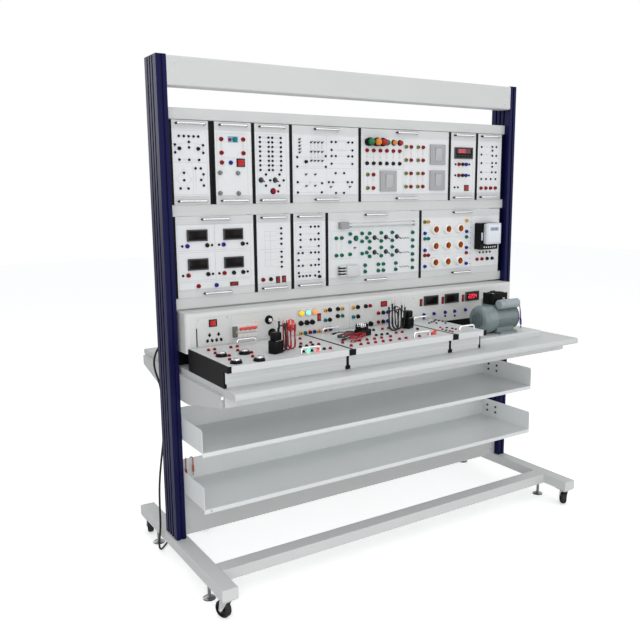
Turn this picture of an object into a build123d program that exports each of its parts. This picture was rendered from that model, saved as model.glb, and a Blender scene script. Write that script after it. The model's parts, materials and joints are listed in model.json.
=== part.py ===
from build123d import *
import os
from math import ceil, cos, pi, radians, sin, sqrt, tan

# Electrical training bench: an upright frame on castors that carries two rows of plug-in
# circuit panels, a mains console, a worktop with loose component boxes and a small motor,
# and two tool trays. Millimetres, +Z up, front towards -Y, origin on the floor under the
# middle of the bench.

os.makedirs("parts", exist_ok=True)

# Main frame
upright_x = 38.0
upright_y = 115.0
upright_front = 16.0
upright_corner = 2.0
flute_count = 3
flute_first = 36.0
flute_pitch = 24.0
flute_width = 10.0
flute_depth = 5.0
face_groove_width = 8.0
face_groove_depth = 5.0
upright_wall = 4.0
upright_cap = 3.0

# Base
leg_width = 60.0
leg_height = 42.0
leg_wall = 3.0
leg_corner = 3.0
leg_overhang = 8.5
leg_front = 408.0
leg_rear = 413.0
castor_height = 80.0
beam_width = 60.0
beam_front = 284.0

# Castors and levelling feet
castor_inset = 30.0
castor_plate = 56.0
castor_plate_thickness = 3.0
castor_bolt_pitch = 40.0
castor_bolt_hole = 6.0
castor_race_d = 34.0
castor_race_height = 7.0
castor_trail = 18.0
castor_angles = {"front_left": 112.0, "front_right": 50.0, "rear_left": 75.0, "rear_right": 100.0}
kingpin_d = 10.0
wheel_d = 62.0
wheel_width = 24.0
wheel_hub_d = 20.0
axle_d = 8.0
fork_thickness = 2.5
fork_gap = 1.5
running_clearance = 0.05
gap = 0.3
foot_insets = {"front": 182.0, "rear": 127.0}
foot_d = 46.0
foot_pad_height = 9.0
foot_pad_rim = 3.0
foot_stem_d = 12.0
foot_nut_height = 8.0
foot_stem_top = 16.0

# Header and panel rails
header_depth = 60.0
header_height = 101.0
header_drop = 2.0
header_gap = 69.0
header_wall = 2.0
header_corner = 6.0
rail_height = 40.0
rail_depth = 40.0
rail_setback = 30.0
rail_wall = 3.0
rail_groove = 6.0
rail_above_console = 6.0

# Circuit panels
module_height = 297.0
module_unit = 163.0
row_end_gap = 12.0
module_clearance = 2.0
module_proud = 2.0
module_depth = 58.0
module_narrow = 153.0
lower_row = (2, 1, 1, 3, 3)
upper_row = (1, 1, 1, 2, 3, 1, 1)
side_plate = 6.5
side_plate_proud = 1.5
strip_height = 32.0
strip_wall = 3.0
strip_return = 36.0
board_thickness = 3.0
handle_length = 115.0
handle_d = 8.0
handle_reach = 20.0
handle_inset = 12.0
handle_bend = 6.0
handle_sides = 8

# Devices on the circuit panels
meter_width = 80.0
meter_height = 42.0
meter_bezel = 6.0
meter_rim = 5.0
panel_meter_columns = (-75.0, 70.0)
panel_meter_rows = (79.0, -27.0)
timer_rise = 208.0
timer_width = 108.0
timer_height = 50.0
socket_d = 44.0
socket_bore_d = 30.0
socket_depth = 18.0
socket_pitch_x = 73.5
socket_pitch_z = 73.5
socket_floor = 4.0
socket_grid_left = 92.0
socket_grid_down = 10.0
lamp_tube_d = 16.0
lamp_tube_length = 345.0
lamp_holder_length = 42.0
lamp_end_length = 10.0
lamp_holder_height = 28.0
lamp_end_height = 22.0
lamp_tube_drop = 53.0
lamp_tube_inset = 98.0
lamp_tube_gap = 3.0
wall_switch_size = 86.0
wall_switch_depth = 9.0
wall_switch_spots = ((172.0, 50.0), (172.0, -61.0), (-99.0, -64.0))
energy_inset = 108.0
energy_rise = 172.0
energy_width = 110.0
energy_height = 122.0
energy_depth = 40.0
energy_cover_shift = 8.0
energy_cover_width = 92.0
energy_cover_low = -36.0
energy_cover_high = 60.0
energy_cover_depth = 22.0

# Worktop and its supports
worktop_depth = 868.0
worktop_thickness = 25.0
worktop_above_tray = 272.0
worktop_side_gap = 10.0
worktop_nose = 10.0
bracket_thickness = 3.0
bracket_flange = 28.0
bracket_front_setback = 92.0
bracket_rear_setback = 15.0
bracket_depth = 97.0
bracket_tip = 41.0
bracket_belly = (-54.0, 203.0)
bracket_rear_tip = 37.0
front_rail_height = 38.0
front_rail_thickness = 13.0

# Tool trays and the low rear panel
tray_sheet = 2.0
tray_front = 172.0
tray_rear = 143.0
lower_tray_rise = 184.0
tray_spacing = 212.0
tray_wall_height = 85.0
tray_lip = 16.0
tray_corner = 10.0
kick_panel_sheet = 2.0
kick_panel_return = 20.0

# Console
console_front = 38.0
console_rear = 110.0
plinth_height = 59.0
console_height = 146.0
console_sheet = 2.0
console_corner = 15.0
plinth_front = 58.0
plinth_wall = 2.0

# Switches and controls on the console front, their heights from the console's lower edge
rocker_pin_d = 3.0
rocker_wall = 1.5
rocker_flange = 2.0
rocker_swing = 9.0
main_rocker_x = -712.0
main_rocker_rise = 104.5
main_rocker_size = (32.0, 27.0)
lamp_rocker_x = -255.0
lamp_rocker_rise = 82.0
lamp_rocker_size = (30.0, 16.0)
supply_rocker_x = 66.5
supply_rocker_rise = 107.5
supply_rocker_size = (32.0, 23.0)
meter_rockers_x = (268.0, 392.0, 513.0)
meter_rocker_rise = 95.0
meter_rocker_size = (31.0, 14.0)
motor_rocker_x = 695.0
motor_rocker_rise = 104.0
motor_rocker_size = (30.0, 21.0)
meters_x = (323.0, 443.0, 566.0)
meters_rise = 100.5
breaker_x = (-640.0, -535.0)
breaker_rise = (39.0, 87.0)
breaker_proud = 6.0
breaker_poles = 4
breaker_throw = 70.0
lever_hub_d = 16.0
estop_x = -400.0
estop_rise = 68.0
estop_head_d = 46.0
estop_travel = 6.0
key_x = -481.0
key_rise = 94.0
selector_x = -468.0
selector_rise = 42.0
control_d = 26.0

# Component boxes and the motor stand
box_bound_units = (-5, -2, 1, 2)
box_rear = 46.0
box_front_head = 376.0
box_front_body = 344.0
box_height = 79.0
box_head_height = 22.0
box_sheet = 2.0
box_end = 6.0
box_end_gap = 0.2
box_cap_width = 14.0
box_cap_proud = 1.5
box_foot_width = 10.0
box_foot_height = 14.0
box_handle_spots = (
    (210.0, -93.0), (330.0, -350.0), (589.0, -80.0), (829.0, -350.0), (1048.0, -80.0), (1060.0, -350.0))
box_handle_length = 84.0
box_handle_height = 26.0
motor_base_length = 399.0
motor_base_front = 309.0
motor_base_rear = 130.0
motor_base_height = 25.0

# Motor
motor_axis_y = -219.0
motor_axis_height = 63.0
cowl_start = 425.0
cowl_length = 62.0
cowl_d = 122.0
cowl_wall = 1.5
housing_length = 138.0
housing_d = 100.0
rib_count = 36
rib_height = 5.0
rib_width = 2.4
shield_length = 14.0
shaft_d = 11.0
shaft_reach = 23.0
foot_span = 100.0
foot_length = 100.0
terminal_box = (90.0, 62.0, 48.0)
pad_left = 48.0
pad_right = 44.0
pad_front = 8.0
pad_rear = 58.0
pad_low = 30.0
pad_rise = 2.0
terminal_box_left = 46.0
terminal_box_front = 6.0
terminal_box_corner = 5.0
capacitor_d = 40.0
capacitor_length = 112.0
capacitor_lean = 33.0

# Mains cord
cord_d = 8.0
gland_x = -785.0
gland_rise = 23.0
gland_length = 16.0
gland_nut_d = 20.0
gland_nut_height = 6.0
coil_pitch = 8.6
coil_outer_r = 52.6
coil_centre = (-699.4, 410.0)
coil_inward_halves = 5
coil_tail = 34.0
plug_length = 46.0
plug_width = 36.0
plug_relief = 40.0
plug_pin = 18.0

# Patch leads, their plugs and the motor's leads
lead_d = 4.0
lead_pitch = 4.6
lead_flare = 6.0
lead_drape_r = 8.0
banana_relief_d = 4.8
banana_relief = 7.0
banana_grip_d = 7.4
banana_grip = 17.0
banana_collar_d = 8.6
banana_collar = 5.0
banana_pin_d = 4.0
banana_pin = 16.0
motor_lead_d = 3.0
motor_lead_run = 26.0
motor_lead_ends = ((5.0, 90.0, -3.0), (19.0, 106.0, 15.0), (33.0, 94.0, 35.0))
motor_lead_rise = 14.0

# Sizes that follow from the ones above
inner_width = sum(lower_row) * module_unit + 2 * row_end_gap
half_inner = inner_width / 2
half_outer = half_inner + upright_x
leg_outer = half_outer + leg_overhang
leg_inner = leg_outer - leg_width
leg_mid = leg_outer - leg_width / 2
leg_top = castor_height + leg_height
rail_front = upright_front + rail_setback
row_pitch = module_height + rail_height + module_clearance
panel_front = rail_front - module_proud
lower_tray_floor = leg_top + lower_tray_rise
upper_tray_floor = lower_tray_floor + tray_spacing
worktop_half = half_inner - worktop_side_gap
bracket_front = worktop_depth / 2 - bracket_front_setback
bracket_rear = worktop_depth / 2 - bracket_rear_setback
box_bounds = tuple(units * module_unit for units in box_bound_units)
worktop_top = upper_tray_floor + worktop_above_tray
worktop_bottom = worktop_top - worktop_thickness
console_face = -console_front
console_bottom = worktop_top + plinth_height
console_top = console_bottom + console_height
first_rail_z = console_top + rail_above_console
top_rail_top = first_rail_z + 2 * row_pitch + rail_height
upright_top = top_rail_top + header_gap + header_height + header_drop
meters_z = console_bottom + meters_rise
breaker_z = tuple(console_bottom + rise for rise in breaker_rise)
estop_z = console_bottom + estop_rise
key_z = console_bottom + key_rise
selector_z = console_bottom + selector_rise
gland_z = console_bottom + gland_rise

nodes = {}
report = []


def block(x, y, z):
    """A rectangular solid from its lower and upper limit along each axis."""
    size = [high - low for low, high in (x, y, z)]
    middle = [(high + low) / 2 for low, high in (x, y, z)]
    return Pos(*middle) * Box(*size)


def along_x(section, low, high):
    """A section drawn in (Y, Z), drawn out along X."""
    return extrude(Plane.YZ.offset(low) * section, high - low, dir=(1, 0, 0))


def along_y(section, low, high):
    """A section drawn in (X, Z), drawn out along Y."""
    plane = Plane(origin=(0, high, 0), x_dir=(1, 0, 0), z_dir=(0, -1, 0))
    return extrude(plane * section, high - low, dir=(0, -1, 0))


def along_z(section, low, high):
    """A section drawn in (X, Y), drawn out along Z."""
    return extrude(Plane.XY.offset(low) * section, high - low, dir=(0, 0, 1))


def rod(start, direction, diameter, length):
    """A round bar from a point along a direction."""
    return extrude(Plane(origin=start, z_dir=direction) * Circle(diameter / 2), length)


def store(name, solids):
    """Keep one solid or a group of separate solids under a node's name."""
    solids = solids if isinstance(solids, list) else [solids]
    flat = [one for item in solids for one in item.solids()]
    nodes[name] = flat


# Uprights: fluted aluminium extrusions with three hollow chambers and a cap on top
def upright_section():
    outline = RectangleRounded(upright_x, upright_y, upright_corner)
    front = -upright_y / 2
    cuts = []
    for i in range(flute_count):
        y = front + flute_first + i * flute_pitch
        for side in (-1, 1):
            x = side * (upright_x / 2 - flute_depth / 2)
            cuts.append(Pos(x, y) * Rectangle(flute_depth, flute_width))
    for side in (-1, 1):
        y = side * (upright_y / 2 - face_groove_depth / 2)
        cuts.append(Pos(0, y) * Rectangle(face_groove_width, face_groove_depth))
    flutes_low = front + flute_first - flute_width / 2
    flutes_high = flutes_low + (flute_count - 1) * flute_pitch + flute_width
    end_low = front + face_groove_depth + upright_wall
    end_high = -front - face_groove_depth - upright_wall
    wide = upright_x - 2 * upright_wall
    narrow = upright_x - 2 * (flute_depth + upright_wall)
    chambers = (
        (end_low, flutes_low - upright_wall, wide),
        (flutes_low, flutes_high, narrow),
        (flutes_high + upright_wall, end_high, wide),
    )
    for low, high, width in chambers:
        cuts.append(Pos(0, (low + high) / 2) * Rectangle(width, high - low))
    return outline - cuts


def upright(side):
    place = Pos(side * (half_inner + upright_x / 2), upright_front + upright_y / 2, 0)
    profile = along_z(upright_section(), leg_top, upright_top - upright_cap)
    cap = along_z(RectangleRounded(upright_x, upright_y, upright_corner),
                  upright_top - upright_cap, upright_top)
    return [place * profile, place * cap]


store("uprights", upright(-1) + upright(1))


# Legs: closed rectangular tubes, with a nut under each levelling foot's hole
def leg(side):
    outer = RectangleRounded(leg_width, leg_height, leg_corner)
    inner = Rectangle(leg_width - 2 * leg_wall, leg_height - 2 * leg_wall)
    place = Pos(side * leg_mid, 0, castor_height + leg_height / 2)
    body = place * along_y(outer, -leg_front, leg_rear)
    body -= place * along_y(inner, -leg_front + leg_wall, leg_rear - leg_wall)
    for y in foot_y.values():
        nut = along_z(Pos(side * leg_mid, y) * RegularPolygon(foot_stem_d * 0.9, 6),
                      castor_height + leg_wall, castor_height + leg_wall + foot_nut_height)
        body += nut
        body -= rod((side * leg_mid, y, castor_height - 1), (0, 0, 1),
                    foot_stem_d + 2 * running_clearance, leg_wall + foot_nut_height + 2)
    return body


foot_y = {"front": -leg_front + foot_insets["front"], "rear": leg_rear - foot_insets["rear"]}

beam_outer = Rectangle(beam_width, leg_height)
beam_inner = Rectangle(beam_width - 2 * leg_wall, leg_height - 2 * leg_wall)
beam_place = Pos(0, -beam_front + beam_width / 2, castor_height + leg_height / 2)
crossbeam = beam_place * along_x(beam_outer - beam_inner, -leg_inner, leg_inner)
store("base_frame", [leg(-1), leg(1), crossbeam])


# Castors: bolted plate with a race, stamped fork that swivels, wheel on an axle
castor_y = {"front": -leg_front + castor_inset, "rear": leg_rear - castor_inset}
wheel_r = wheel_d / 2
race_bottom = castor_height - castor_plate_thickness - castor_race_height
fork_half = wheel_width / 2 + fork_gap
kingpin_top = castor_height - castor_plate_thickness + 1.0


def castor_plate_solid():
    plate = along_z(RectangleRounded(castor_plate, castor_plate, 4),
                    castor_height - castor_plate_thickness, castor_height)
    for dx in (-0.5, 0.5):
        for dy in (-0.5, 0.5):
            spot = (dx * castor_bolt_pitch, dy * castor_bolt_pitch, castor_height - 10)
            plate -= rod(spot, (0, 0, 1), castor_bolt_hole, 20)
    race = rod((0, 0, race_bottom), (0, 0, 1), castor_race_d, castor_race_height)
    cup = plate + race
    cup -= rod((0, 0, race_bottom - 1), (0, 0, 1), kingpin_d + 2 * running_clearance,
               kingpin_top - race_bottom + 1 + gap)
    return cup


def fork_solid():
    """The fork in its own axes: pivot at the origin, trailing towards +X."""
    crown_z = race_bottom - gap
    crown = along_z(Circle(castor_race_d / 2), crown_z - fork_thickness, crown_z)
    side = Polygon(
        (-castor_race_d / 2 + 3, crown_z),
        (castor_race_d / 2 + 2, crown_z),
        (castor_trail + axle_d, wheel_r - axle_d * 0.4),
        (castor_trail, wheel_r - axle_d),
        (castor_trail - axle_d, wheel_r),
        align=None,
    )
    arms = []
    for sign in (-1, 1):
        low = sign * fork_half if sign > 0 else -fork_half - fork_thickness
        arms.append(along_y(side, low, low + fork_thickness))
    top = block((-castor_race_d / 2 + 3, castor_race_d / 2 + 2),
                (-fork_half - fork_thickness, fork_half + fork_thickness),
                (crown_z - fork_thickness, crown_z))
    pin = rod((0, 0, crown_z - fork_thickness), (0, 0, 1), kingpin_d,
              kingpin_top - crown_z + fork_thickness)
    axle = rod((castor_trail, -fork_half - fork_thickness - 2.5, wheel_r), (0, 1, 0), axle_d,
               2 * (fork_half + fork_thickness + 2.5))
    return crown + arms + top + pin + axle


def wheel_solid():
    """Moulded wheel: rounded tread, recessed web and a bored hub, turned about its axle."""
    half = wheel_width / 2
    bore = axle_d / 2 + running_clearance
    hub = wheel_hub_d / 2
    rim = wheel_r - 8
    section = make_face(Polyline(
        (bore, -half - 1), (hub, -half - 1), (hub, -half + 6), (rim, -half + 6), (rim, -half),
        (wheel_r - 5, -half), (wheel_r, -half + 5), (wheel_r, half - 5), (wheel_r - 5, half),
        (rim, half), (rim, half - 6), (hub, half - 6), (hub, half + 1), (bore, half + 1),
        (bore, -half - 1)))
    turned = revolve(Plane.XY * section, Axis.Y)
    return Pos(castor_trail, 0, wheel_r) * turned


plates = []
for place_name, turn in castor_angles.items():
    end, side_name = place_name.split("_")
    side = -1 if side_name == "left" else 1
    spot = Pos(side * leg_mid, castor_y[end], 0)
    plates.append(spot * castor_plate_solid())
    store("castor_fork_" + place_name, spot * Rot(0, 0, turn) * fork_solid())
    store("castor_wheel_" + place_name, spot * Rot(0, 0, turn) * wheel_solid())
store("castor_plates", plates)


# Levelling feet: a dished steel pad with a black base on a threaded stem
def levelling_foot(side, end):
    pad_r = foot_d / 2
    stem_r = foot_stem_d / 2
    top = castor_height + foot_stem_top
    outline = make_face(Polyline(
        (0, 0), (pad_r, 0), (pad_r, foot_pad_rim), (pad_r - 5, foot_pad_height * 0.7),
        (stem_r + 3, foot_pad_height), (stem_r, foot_pad_height + 3),
        (stem_r, top), (0, top), (0, 0)))
    turned = revolve(Plane.XZ * outline, Axis.Z)
    return Pos(side * leg_mid, foot_y[end], 0) * turned


for end in ("front", "rear"):
    for side_name, side in (("left", -1), ("right", 1)):
        store("levelling_foot_" + end + "_" + side_name, levelling_foot(side, end))


# Header: a hollow box section between the tops of the uprights
header_top = upright_top - header_drop
header_mid_y = upright_front + header_depth / 2
header_outer = RectangleRounded(header_depth, header_height, header_corner)
header_inner = RectangleRounded(header_depth - 2 * header_wall, header_height - 2 * header_wall,
                                header_corner - header_wall)
header_place = Pos(0, header_mid_y, header_top - header_height / 2)
store("header_banner", header_place * along_x(header_outer - header_inner, -half_inner, half_inner))

# Panel rails: three extrusions with a groove above and below that the panels hook into
rail_section = RectangleRounded(rail_depth, rail_height, 1.5)
rail_section -= Rectangle(rail_depth - 2 * rail_wall, rail_height - 2 * (rail_wall + rail_groove))
for sign in (-1, 1):
    rail_section -= Pos(0, sign * (rail_height - rail_groove) / 2) * Rectangle(rail_groove, rail_groove)
rails = []
for i in range(3):
    z = first_rail_z + i * row_pitch + rail_height / 2
    rails.append(Pos(0, rail_front + rail_depth / 2, z) * along_x(rail_section, -half_inner, half_inner))
store("module_rails", rails)


# Circuit panels: printed board between two aluminium strips and two black side plates
def module_spans(row, narrow_first):
    """Left and right limit of each panel of a row, filled from the middle outwards."""
    spans = []
    left = -sum(row) * module_unit / 2
    for number, units in enumerate(row):
        right = left + units * module_unit
        if narrow_first and number == 0:
            spans.append((left, left + module_narrow))
        else:
            spans.append((left, right))
        left = right
    return spans


def module_parts(span, base):
    left, right = span
    top = base + module_height
    y0 = panel_front
    in_left = left + side_plate
    in_right = right - side_plate
    sides = [
        block((left, in_left), (y0 - side_plate_proud, y0 + module_depth), (base, top)),
        block((in_right, right), (y0 - side_plate_proud, y0 + module_depth), (base, top)),
    ]
    channel = make_face(Polyline(
        (0, 0), (strip_return, 0), (strip_return, strip_wall), (strip_wall, strip_wall),
        (strip_wall, strip_height), (0, strip_height), (0, 0)))
    lower = Pos(0, y0, base) * along_x(channel, in_left, in_right)
    upper = Pos(0, y0, top) * along_x(mirror(channel, Plane.XZ), in_left, in_right)
    board = block((in_left, in_right), (y0, y0 + board_thickness),
                  (base + strip_height, top - strip_height))
    middle = (left + right) / 2
    handles = []
    for z in (base + handle_inset, top - handle_inset):
        handles.append(Pos(middle, y0, z) * u_handle(handle_length, handle_reach, handle_d, handle_bend))
    return board, [lower, upper], sides, handles


def u_handle(length, reach, thickness, bend):
    """A bent round bar standing on a face: the legs start at Y 0 and reach towards -Y."""
    half = length / 2 - thickness / 2
    bar_y = -reach + thickness / 2
    path = FilletPolyline((-half, 0, 0), (-half, bar_y, 0), (half, bar_y, 0), (half, 0, 0), radius=bend)
    ring = Plane(origin=(-half, 0, 0), z_dir=(0, -1, 0)) * RegularPolygon(thickness / 2, handle_sides)
    return sweep(ring, path=path)


lower_base = first_rail_z + rail_height
upper_base = lower_base + row_pitch
lower_spans = module_spans(lower_row, False)
upper_spans = module_spans(upper_row, True)
boards = []
strips = []
sides = []
handles = []
for spans, base in ((lower_spans, lower_base), (upper_spans, upper_base)):
    for span in spans:
        board, pair, cheeks, grips = module_parts(span, base)
        boards.append(board)
        strips += pair
        sides += cheeks
        handles += grips
store("module_boards", boards)
store("module_strips", strips)
store("module_side_plates", sides)
store("module_handles", handles)


# Panel meters: a bezel with a sunk window, three on the console and five on the panels
def meter(x, face_y, z, width=meter_width, height=meter_height):
    body = block((x - width / 2, x + width / 2), (face_y - meter_bezel, face_y),
                 (z - height / 2, z + height / 2))
    window = block((x - width / 2 + meter_rim, x + width / 2 - meter_rim),
                   (face_y - meter_bezel - 1, face_y - meter_bezel / 2),
                   (z - height / 2 + meter_rim, z + height / 2 - meter_rim))
    return body - window


meter_panel_mid = (lower_spans[0][0] + lower_spans[0][1]) / 2
meters = [meter(x, console_face, meters_z) for x in meters_x]
for dx in panel_meter_columns:
    for dz in panel_meter_rows:
        meters.append(meter(meter_panel_mid + dx, panel_front, lower_base + module_height / 2 + dz))
timer_mid = (upper_spans[5][0] + upper_spans[5][1]) / 2
meters.append(meter(timer_mid, panel_front, upper_base + timer_rise, timer_width, timer_height))
store("panel_meters", meters)

# Lamp sockets: nine moulded screw sockets in a three by three grid on the right lower panel
socket_mid_x = (lower_spans[4][0] + lower_spans[4][1]) / 2 - socket_grid_left
socket_mid_z = lower_base + module_height / 2 - socket_grid_down
socket_r = socket_d / 2
bore_r = socket_bore_d / 2
socket_section = make_face(Polyline(
    (0, 0), (socket_r, 0), (socket_r - 2, socket_depth - 3), (socket_r - 4, socket_depth),
    (bore_r, socket_depth), (bore_r, socket_floor), (0, socket_floor), (0, 0)))
socket_turned = revolve(Plane.XZ * socket_section, Axis.Z)
lamp_sockets = []
for i in (-1, 0, 1):
    for j in (-1, 0, 1):
        spot = Pos(socket_mid_x + i * socket_pitch_x, panel_front, socket_mid_z + j * socket_pitch_z)
        lamp_sockets.append(spot * Rot(90, 0, 0) * socket_turned)
store("lamp_sockets", lamp_sockets)

# Fluorescent lamp: glass tube between two holders near the top of the fourth lower panel
tube_z = lower_base + module_height - lamp_tube_drop
tube_left = lower_spans[3][0] + lamp_tube_inset
tube_y = panel_front - lamp_tube_d / 2 - lamp_tube_gap
tube_right = tube_left + lamp_tube_length
holders = [
    block((tube_left - lamp_holder_length, tube_left), (tube_y - lamp_tube_d / 2 - 2, panel_front),
          (tube_z - lamp_holder_height / 2, tube_z + lamp_holder_height / 2)),
    block((tube_right, tube_right + lamp_end_length), (tube_y - lamp_tube_d / 2 - 2, panel_front),
          (tube_z - lamp_end_height / 2, tube_z + lamp_end_height / 2)),
]
holders = [fillet(item.edges().group_by(Axis.Y)[0], 3) for item in holders]
store("fluorescent_lamp", holders + [rod((tube_left, tube_y, tube_z), (1, 0, 0), lamp_tube_d,
                                         lamp_tube_length)])

# Energy meter: black base plate with a stepped light cover, on the right lower panel
energy_x = lower_spans[4][1] - energy_inset
energy_z = lower_base + energy_rise
energy_base = block((energy_x - energy_width / 2, energy_x + energy_width / 2),
                    (panel_front - energy_depth, panel_front),
                    (energy_z - energy_height / 2, energy_z + energy_height / 2))
energy_base = fillet(energy_base.edges().filter_by(Axis.Y), 6)
cover_mid = energy_x + energy_cover_shift
energy_cover = block((cover_mid - energy_cover_width / 2, cover_mid + energy_cover_width / 2),
                     (panel_front - energy_depth - energy_cover_depth, panel_front - energy_depth),
                     (energy_z + energy_cover_low, energy_z + energy_cover_high))
energy_cover = fillet(energy_cover.edges().group_by(Axis.Y)[0], 5)
store("energy_meter", [energy_base, energy_cover])

# Wall switches: three square plates on the fifth upper panel
switch_mid = (upper_spans[4][0] + upper_spans[4][1]) / 2
plates = []
for dx, dz in wall_switch_spots:
    x = switch_mid + dx
    z = upper_base + module_height / 2 + dz
    plate = block((x - wall_switch_size / 2, x + wall_switch_size / 2),
                  (panel_front - wall_switch_depth, panel_front),
                  (z - wall_switch_size / 2, z + wall_switch_size / 2))
    plates.append(fillet(plate.edges().group_by(Axis.Y)[0], 3))
store("wall_switch_plates", plates)

# Worktop: a thick board with rounded front and rear edges
top_edge = Pos(0, (worktop_top + worktop_bottom) / 2) * Rectangle(worktop_depth, worktop_thickness)
top_edge = fillet(top_edge.vertices(), worktop_nose)
store("worktop", along_x(top_edge, -worktop_half, worktop_half))


# Worktop brackets: folded plates on the uprights, with a flange under the board
def bracket(side):
    outline = Polygon(
        (-bracket_front, worktop_bottom),
        (-bracket_front, worktop_bottom - bracket_tip),
        (bracket_belly[0], worktop_bottom - bracket_depth),
        (bracket_belly[1], worktop_bottom - bracket_depth),
        (bracket_rear, worktop_bottom - bracket_rear_tip),
        (bracket_rear, worktop_bottom),
        align=None,
    )
    outer = side * half_inner
    inner = side * (half_inner - bracket_thickness)
    web = along_x(outline, min(outer, inner), max(outer, inner))
    tip = side * (half_inner - bracket_flange)
    flange = block((min(outer, tip), max(outer, tip)), (-bracket_front, bracket_rear),
                   (worktop_bottom - bracket_thickness, worktop_bottom))
    return web + flange


store("worktop_brackets", [bracket(-1), bracket(1)])

rail_profile = Pos(-bracket_front - front_rail_thickness / 2, worktop_bottom - front_rail_height / 2)
rail_profile *= Rectangle(front_rail_thickness, front_rail_height)
store("worktop_front_rail", along_x(rail_profile, -worktop_half, worktop_half))


# Tool trays: folded sheet, open at the front above a turned-down lip
def tray(floor_top):
    under = floor_top - tray_sheet
    top = floor_top + tray_wall_height
    lip_bottom = floor_top - tray_lip
    front = -tray_front
    shell = block((-half_inner, half_inner), (front, tray_rear), (under, top))
    shell -= block((-half_inner + tray_sheet, half_inner - tray_sheet),
                   (front - 1, tray_rear - tray_sheet), (floor_top, top + 1))
    ends = shell.edges().filter_by(Axis.X).group_by(Axis.Y)[0].sort_by(Axis.Z)[-2:]
    shell = fillet(ends, tray_corner)
    lip = block((-half_inner, half_inner), (front, front + tray_sheet), (lip_bottom, under))
    return shell + lip


store("tool_trays", [tray(upper_tray_floor), tray(lower_tray_floor)])

# Kick panel: low sheet between the uprights with folded ends
kick_top = lower_tray_floor - tray_sheet
kick = block((-half_inner, half_inner), (rail_front, rail_front + kick_panel_return), (leg_top, kick_top))
kick -= block((-half_inner + kick_panel_sheet, half_inner - kick_panel_sheet),
              (rail_front + kick_panel_sheet, rail_front + kick_panel_return + 1),
              (leg_top - 1, kick_top - kick_panel_sheet))
store("kick_panel", kick)


# Rocker switches: a flanged cup through the panel and a rocker on a pin inside it
class Rocker:
    """One switch: its place on the console front, its size and the way it rocks."""

    def __init__(self, name, x, rise, size, upright_switch):
        self.name = name
        self.x = x
        self.z = console_bottom + rise
        self.long, self.short = size
        self.upright_switch = upright_switch

    def place(self):
        turn = Rot(0, 90, 0) if self.upright_switch else Rot(0, 0, 0)
        return Pos(self.x, console_face, self.z) * turn


rocker_sink = 1.5
rocker_back = 10.0
cup_margin = 1.8


def rocker_cup(item):
    """Built with the long side along X and the pin along Z, front towards -Y."""
    half_long = item.long / 2
    half_short = item.short / 2
    flange = block((-half_long, half_long), (-rocker_flange, 0), (-half_short, half_short))
    body = block((-half_long + cup_margin, half_long - cup_margin), (0, rocker_back + rocker_wall),
                 (-half_short + cup_margin, half_short - cup_margin))
    inset = cup_margin + rocker_wall
    hollow = block((-half_long + inset, half_long - inset), (-rocker_flange - 1, rocker_back),
                   (-half_short + inset, half_short - inset))
    bore = rod((0, rocker_sink, -half_short + cup_margin), (0, 0, 1),
               rocker_pin_d + 2 * running_clearance, item.short - 2 * cup_margin)
    return item.place() * (flange + body - hollow - bore)


def rocker_key(item):
    inset = cup_margin + rocker_wall
    radius = item.long / 2 - inset - gap
    width = item.short - 2 * inset - 2 * gap
    outline = Circle(radius) & Polygon(
        (-radius - 1, -6.4), (0, -3.8), (radius + 1, -6.4), (radius + 1, 3.0), (-radius - 1, 3.0),
        align=None)
    key = along_z(outline, -width / 2, width / 2)
    pin_half = item.short / 2 - cup_margin
    key += rod((0, 0, -pin_half), (0, 0, 1), rocker_pin_d, 2 * pin_half)
    return item.place() * Pos(0, rocker_sink, 0) * Rot(0, 0, -rocker_swing) * key


rockers = [
    Rocker("main_rocker", main_rocker_x, main_rocker_rise, main_rocker_size, False),
    Rocker("lamp_rocker", lamp_rocker_x, lamp_rocker_rise, lamp_rocker_size, True),
    Rocker("supply_rocker", supply_rocker_x, supply_rocker_rise, supply_rocker_size, False),
    Rocker("motor_rocker", motor_rocker_x, motor_rocker_rise, motor_rocker_size, False),
]
for number, x in enumerate(meter_rockers_x):
    rockers.append(Rocker(f"meter_rocker_{number + 1}", x, meter_rocker_rise, meter_rocker_size, True))
bezels = [rocker_cup(item) for item in rockers]
for item in rockers:
    store(item.name, rocker_key(item))

# Emergency stop: collar on the console front and a mushroom head on a sliding shaft
estop_shaft_d = 10.0
estop_collar_d = 30.0
estop_collar_h = 12.0
estop_gap = estop_travel + 1.0
estop_inside = 22.0


def turned_on_face(points, x, z):
    """Turn a half section about an axis square to the console front, first value radius."""
    half = make_face(Polyline(*points, points[0]))
    return Pos(x, console_face, z) * Rot(90, 0, 0) * revolve(Plane.XZ * half, Axis.Z)


collar_bore = estop_shaft_d / 2 + running_clearance
estop_collar = turned_on_face((
    (collar_bore, -estop_inside), (estop_collar_d / 2 - 3, -estop_inside),
    (estop_collar_d / 2 - 3, 0), (estop_collar_d / 2, 0),
    (estop_collar_d / 2 - 2, estop_collar_h), (collar_bore, estop_collar_h)), estop_x, estop_z)
bezels.append(estop_collar)
head_r = estop_head_d / 2
head_low = estop_collar_h + estop_gap
store("estop_button", turned_on_face((
    (0, -estop_inside + estop_travel + 2), (estop_shaft_d / 2, -estop_inside + estop_travel + 2),
    (estop_shaft_d / 2, head_low), (head_r - 3, head_low), (head_r, head_low + 3),
    (head_r, head_low + 8), (head_r - 3, head_low + 14), (head_r - 10, head_low + 17),
    (0, head_low + 18)), estop_x, estop_z))

# Key switch and selector: a turning barrel or knob in a round bezel
control_bore_d = 16.0
control_inside = 18.0
control_collar = 10.0


def control_bezel(x, z):
    bore = control_bore_d / 2 + running_clearance
    return turned_on_face((
        (bore, -control_inside), (control_bore_d / 2 + 2.5, -control_inside),
        (control_bore_d / 2 + 2.5, 0), (control_d / 2, 0),
        (control_d / 2 - 1.5, control_collar), (bore, control_collar)), x, z)


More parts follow.
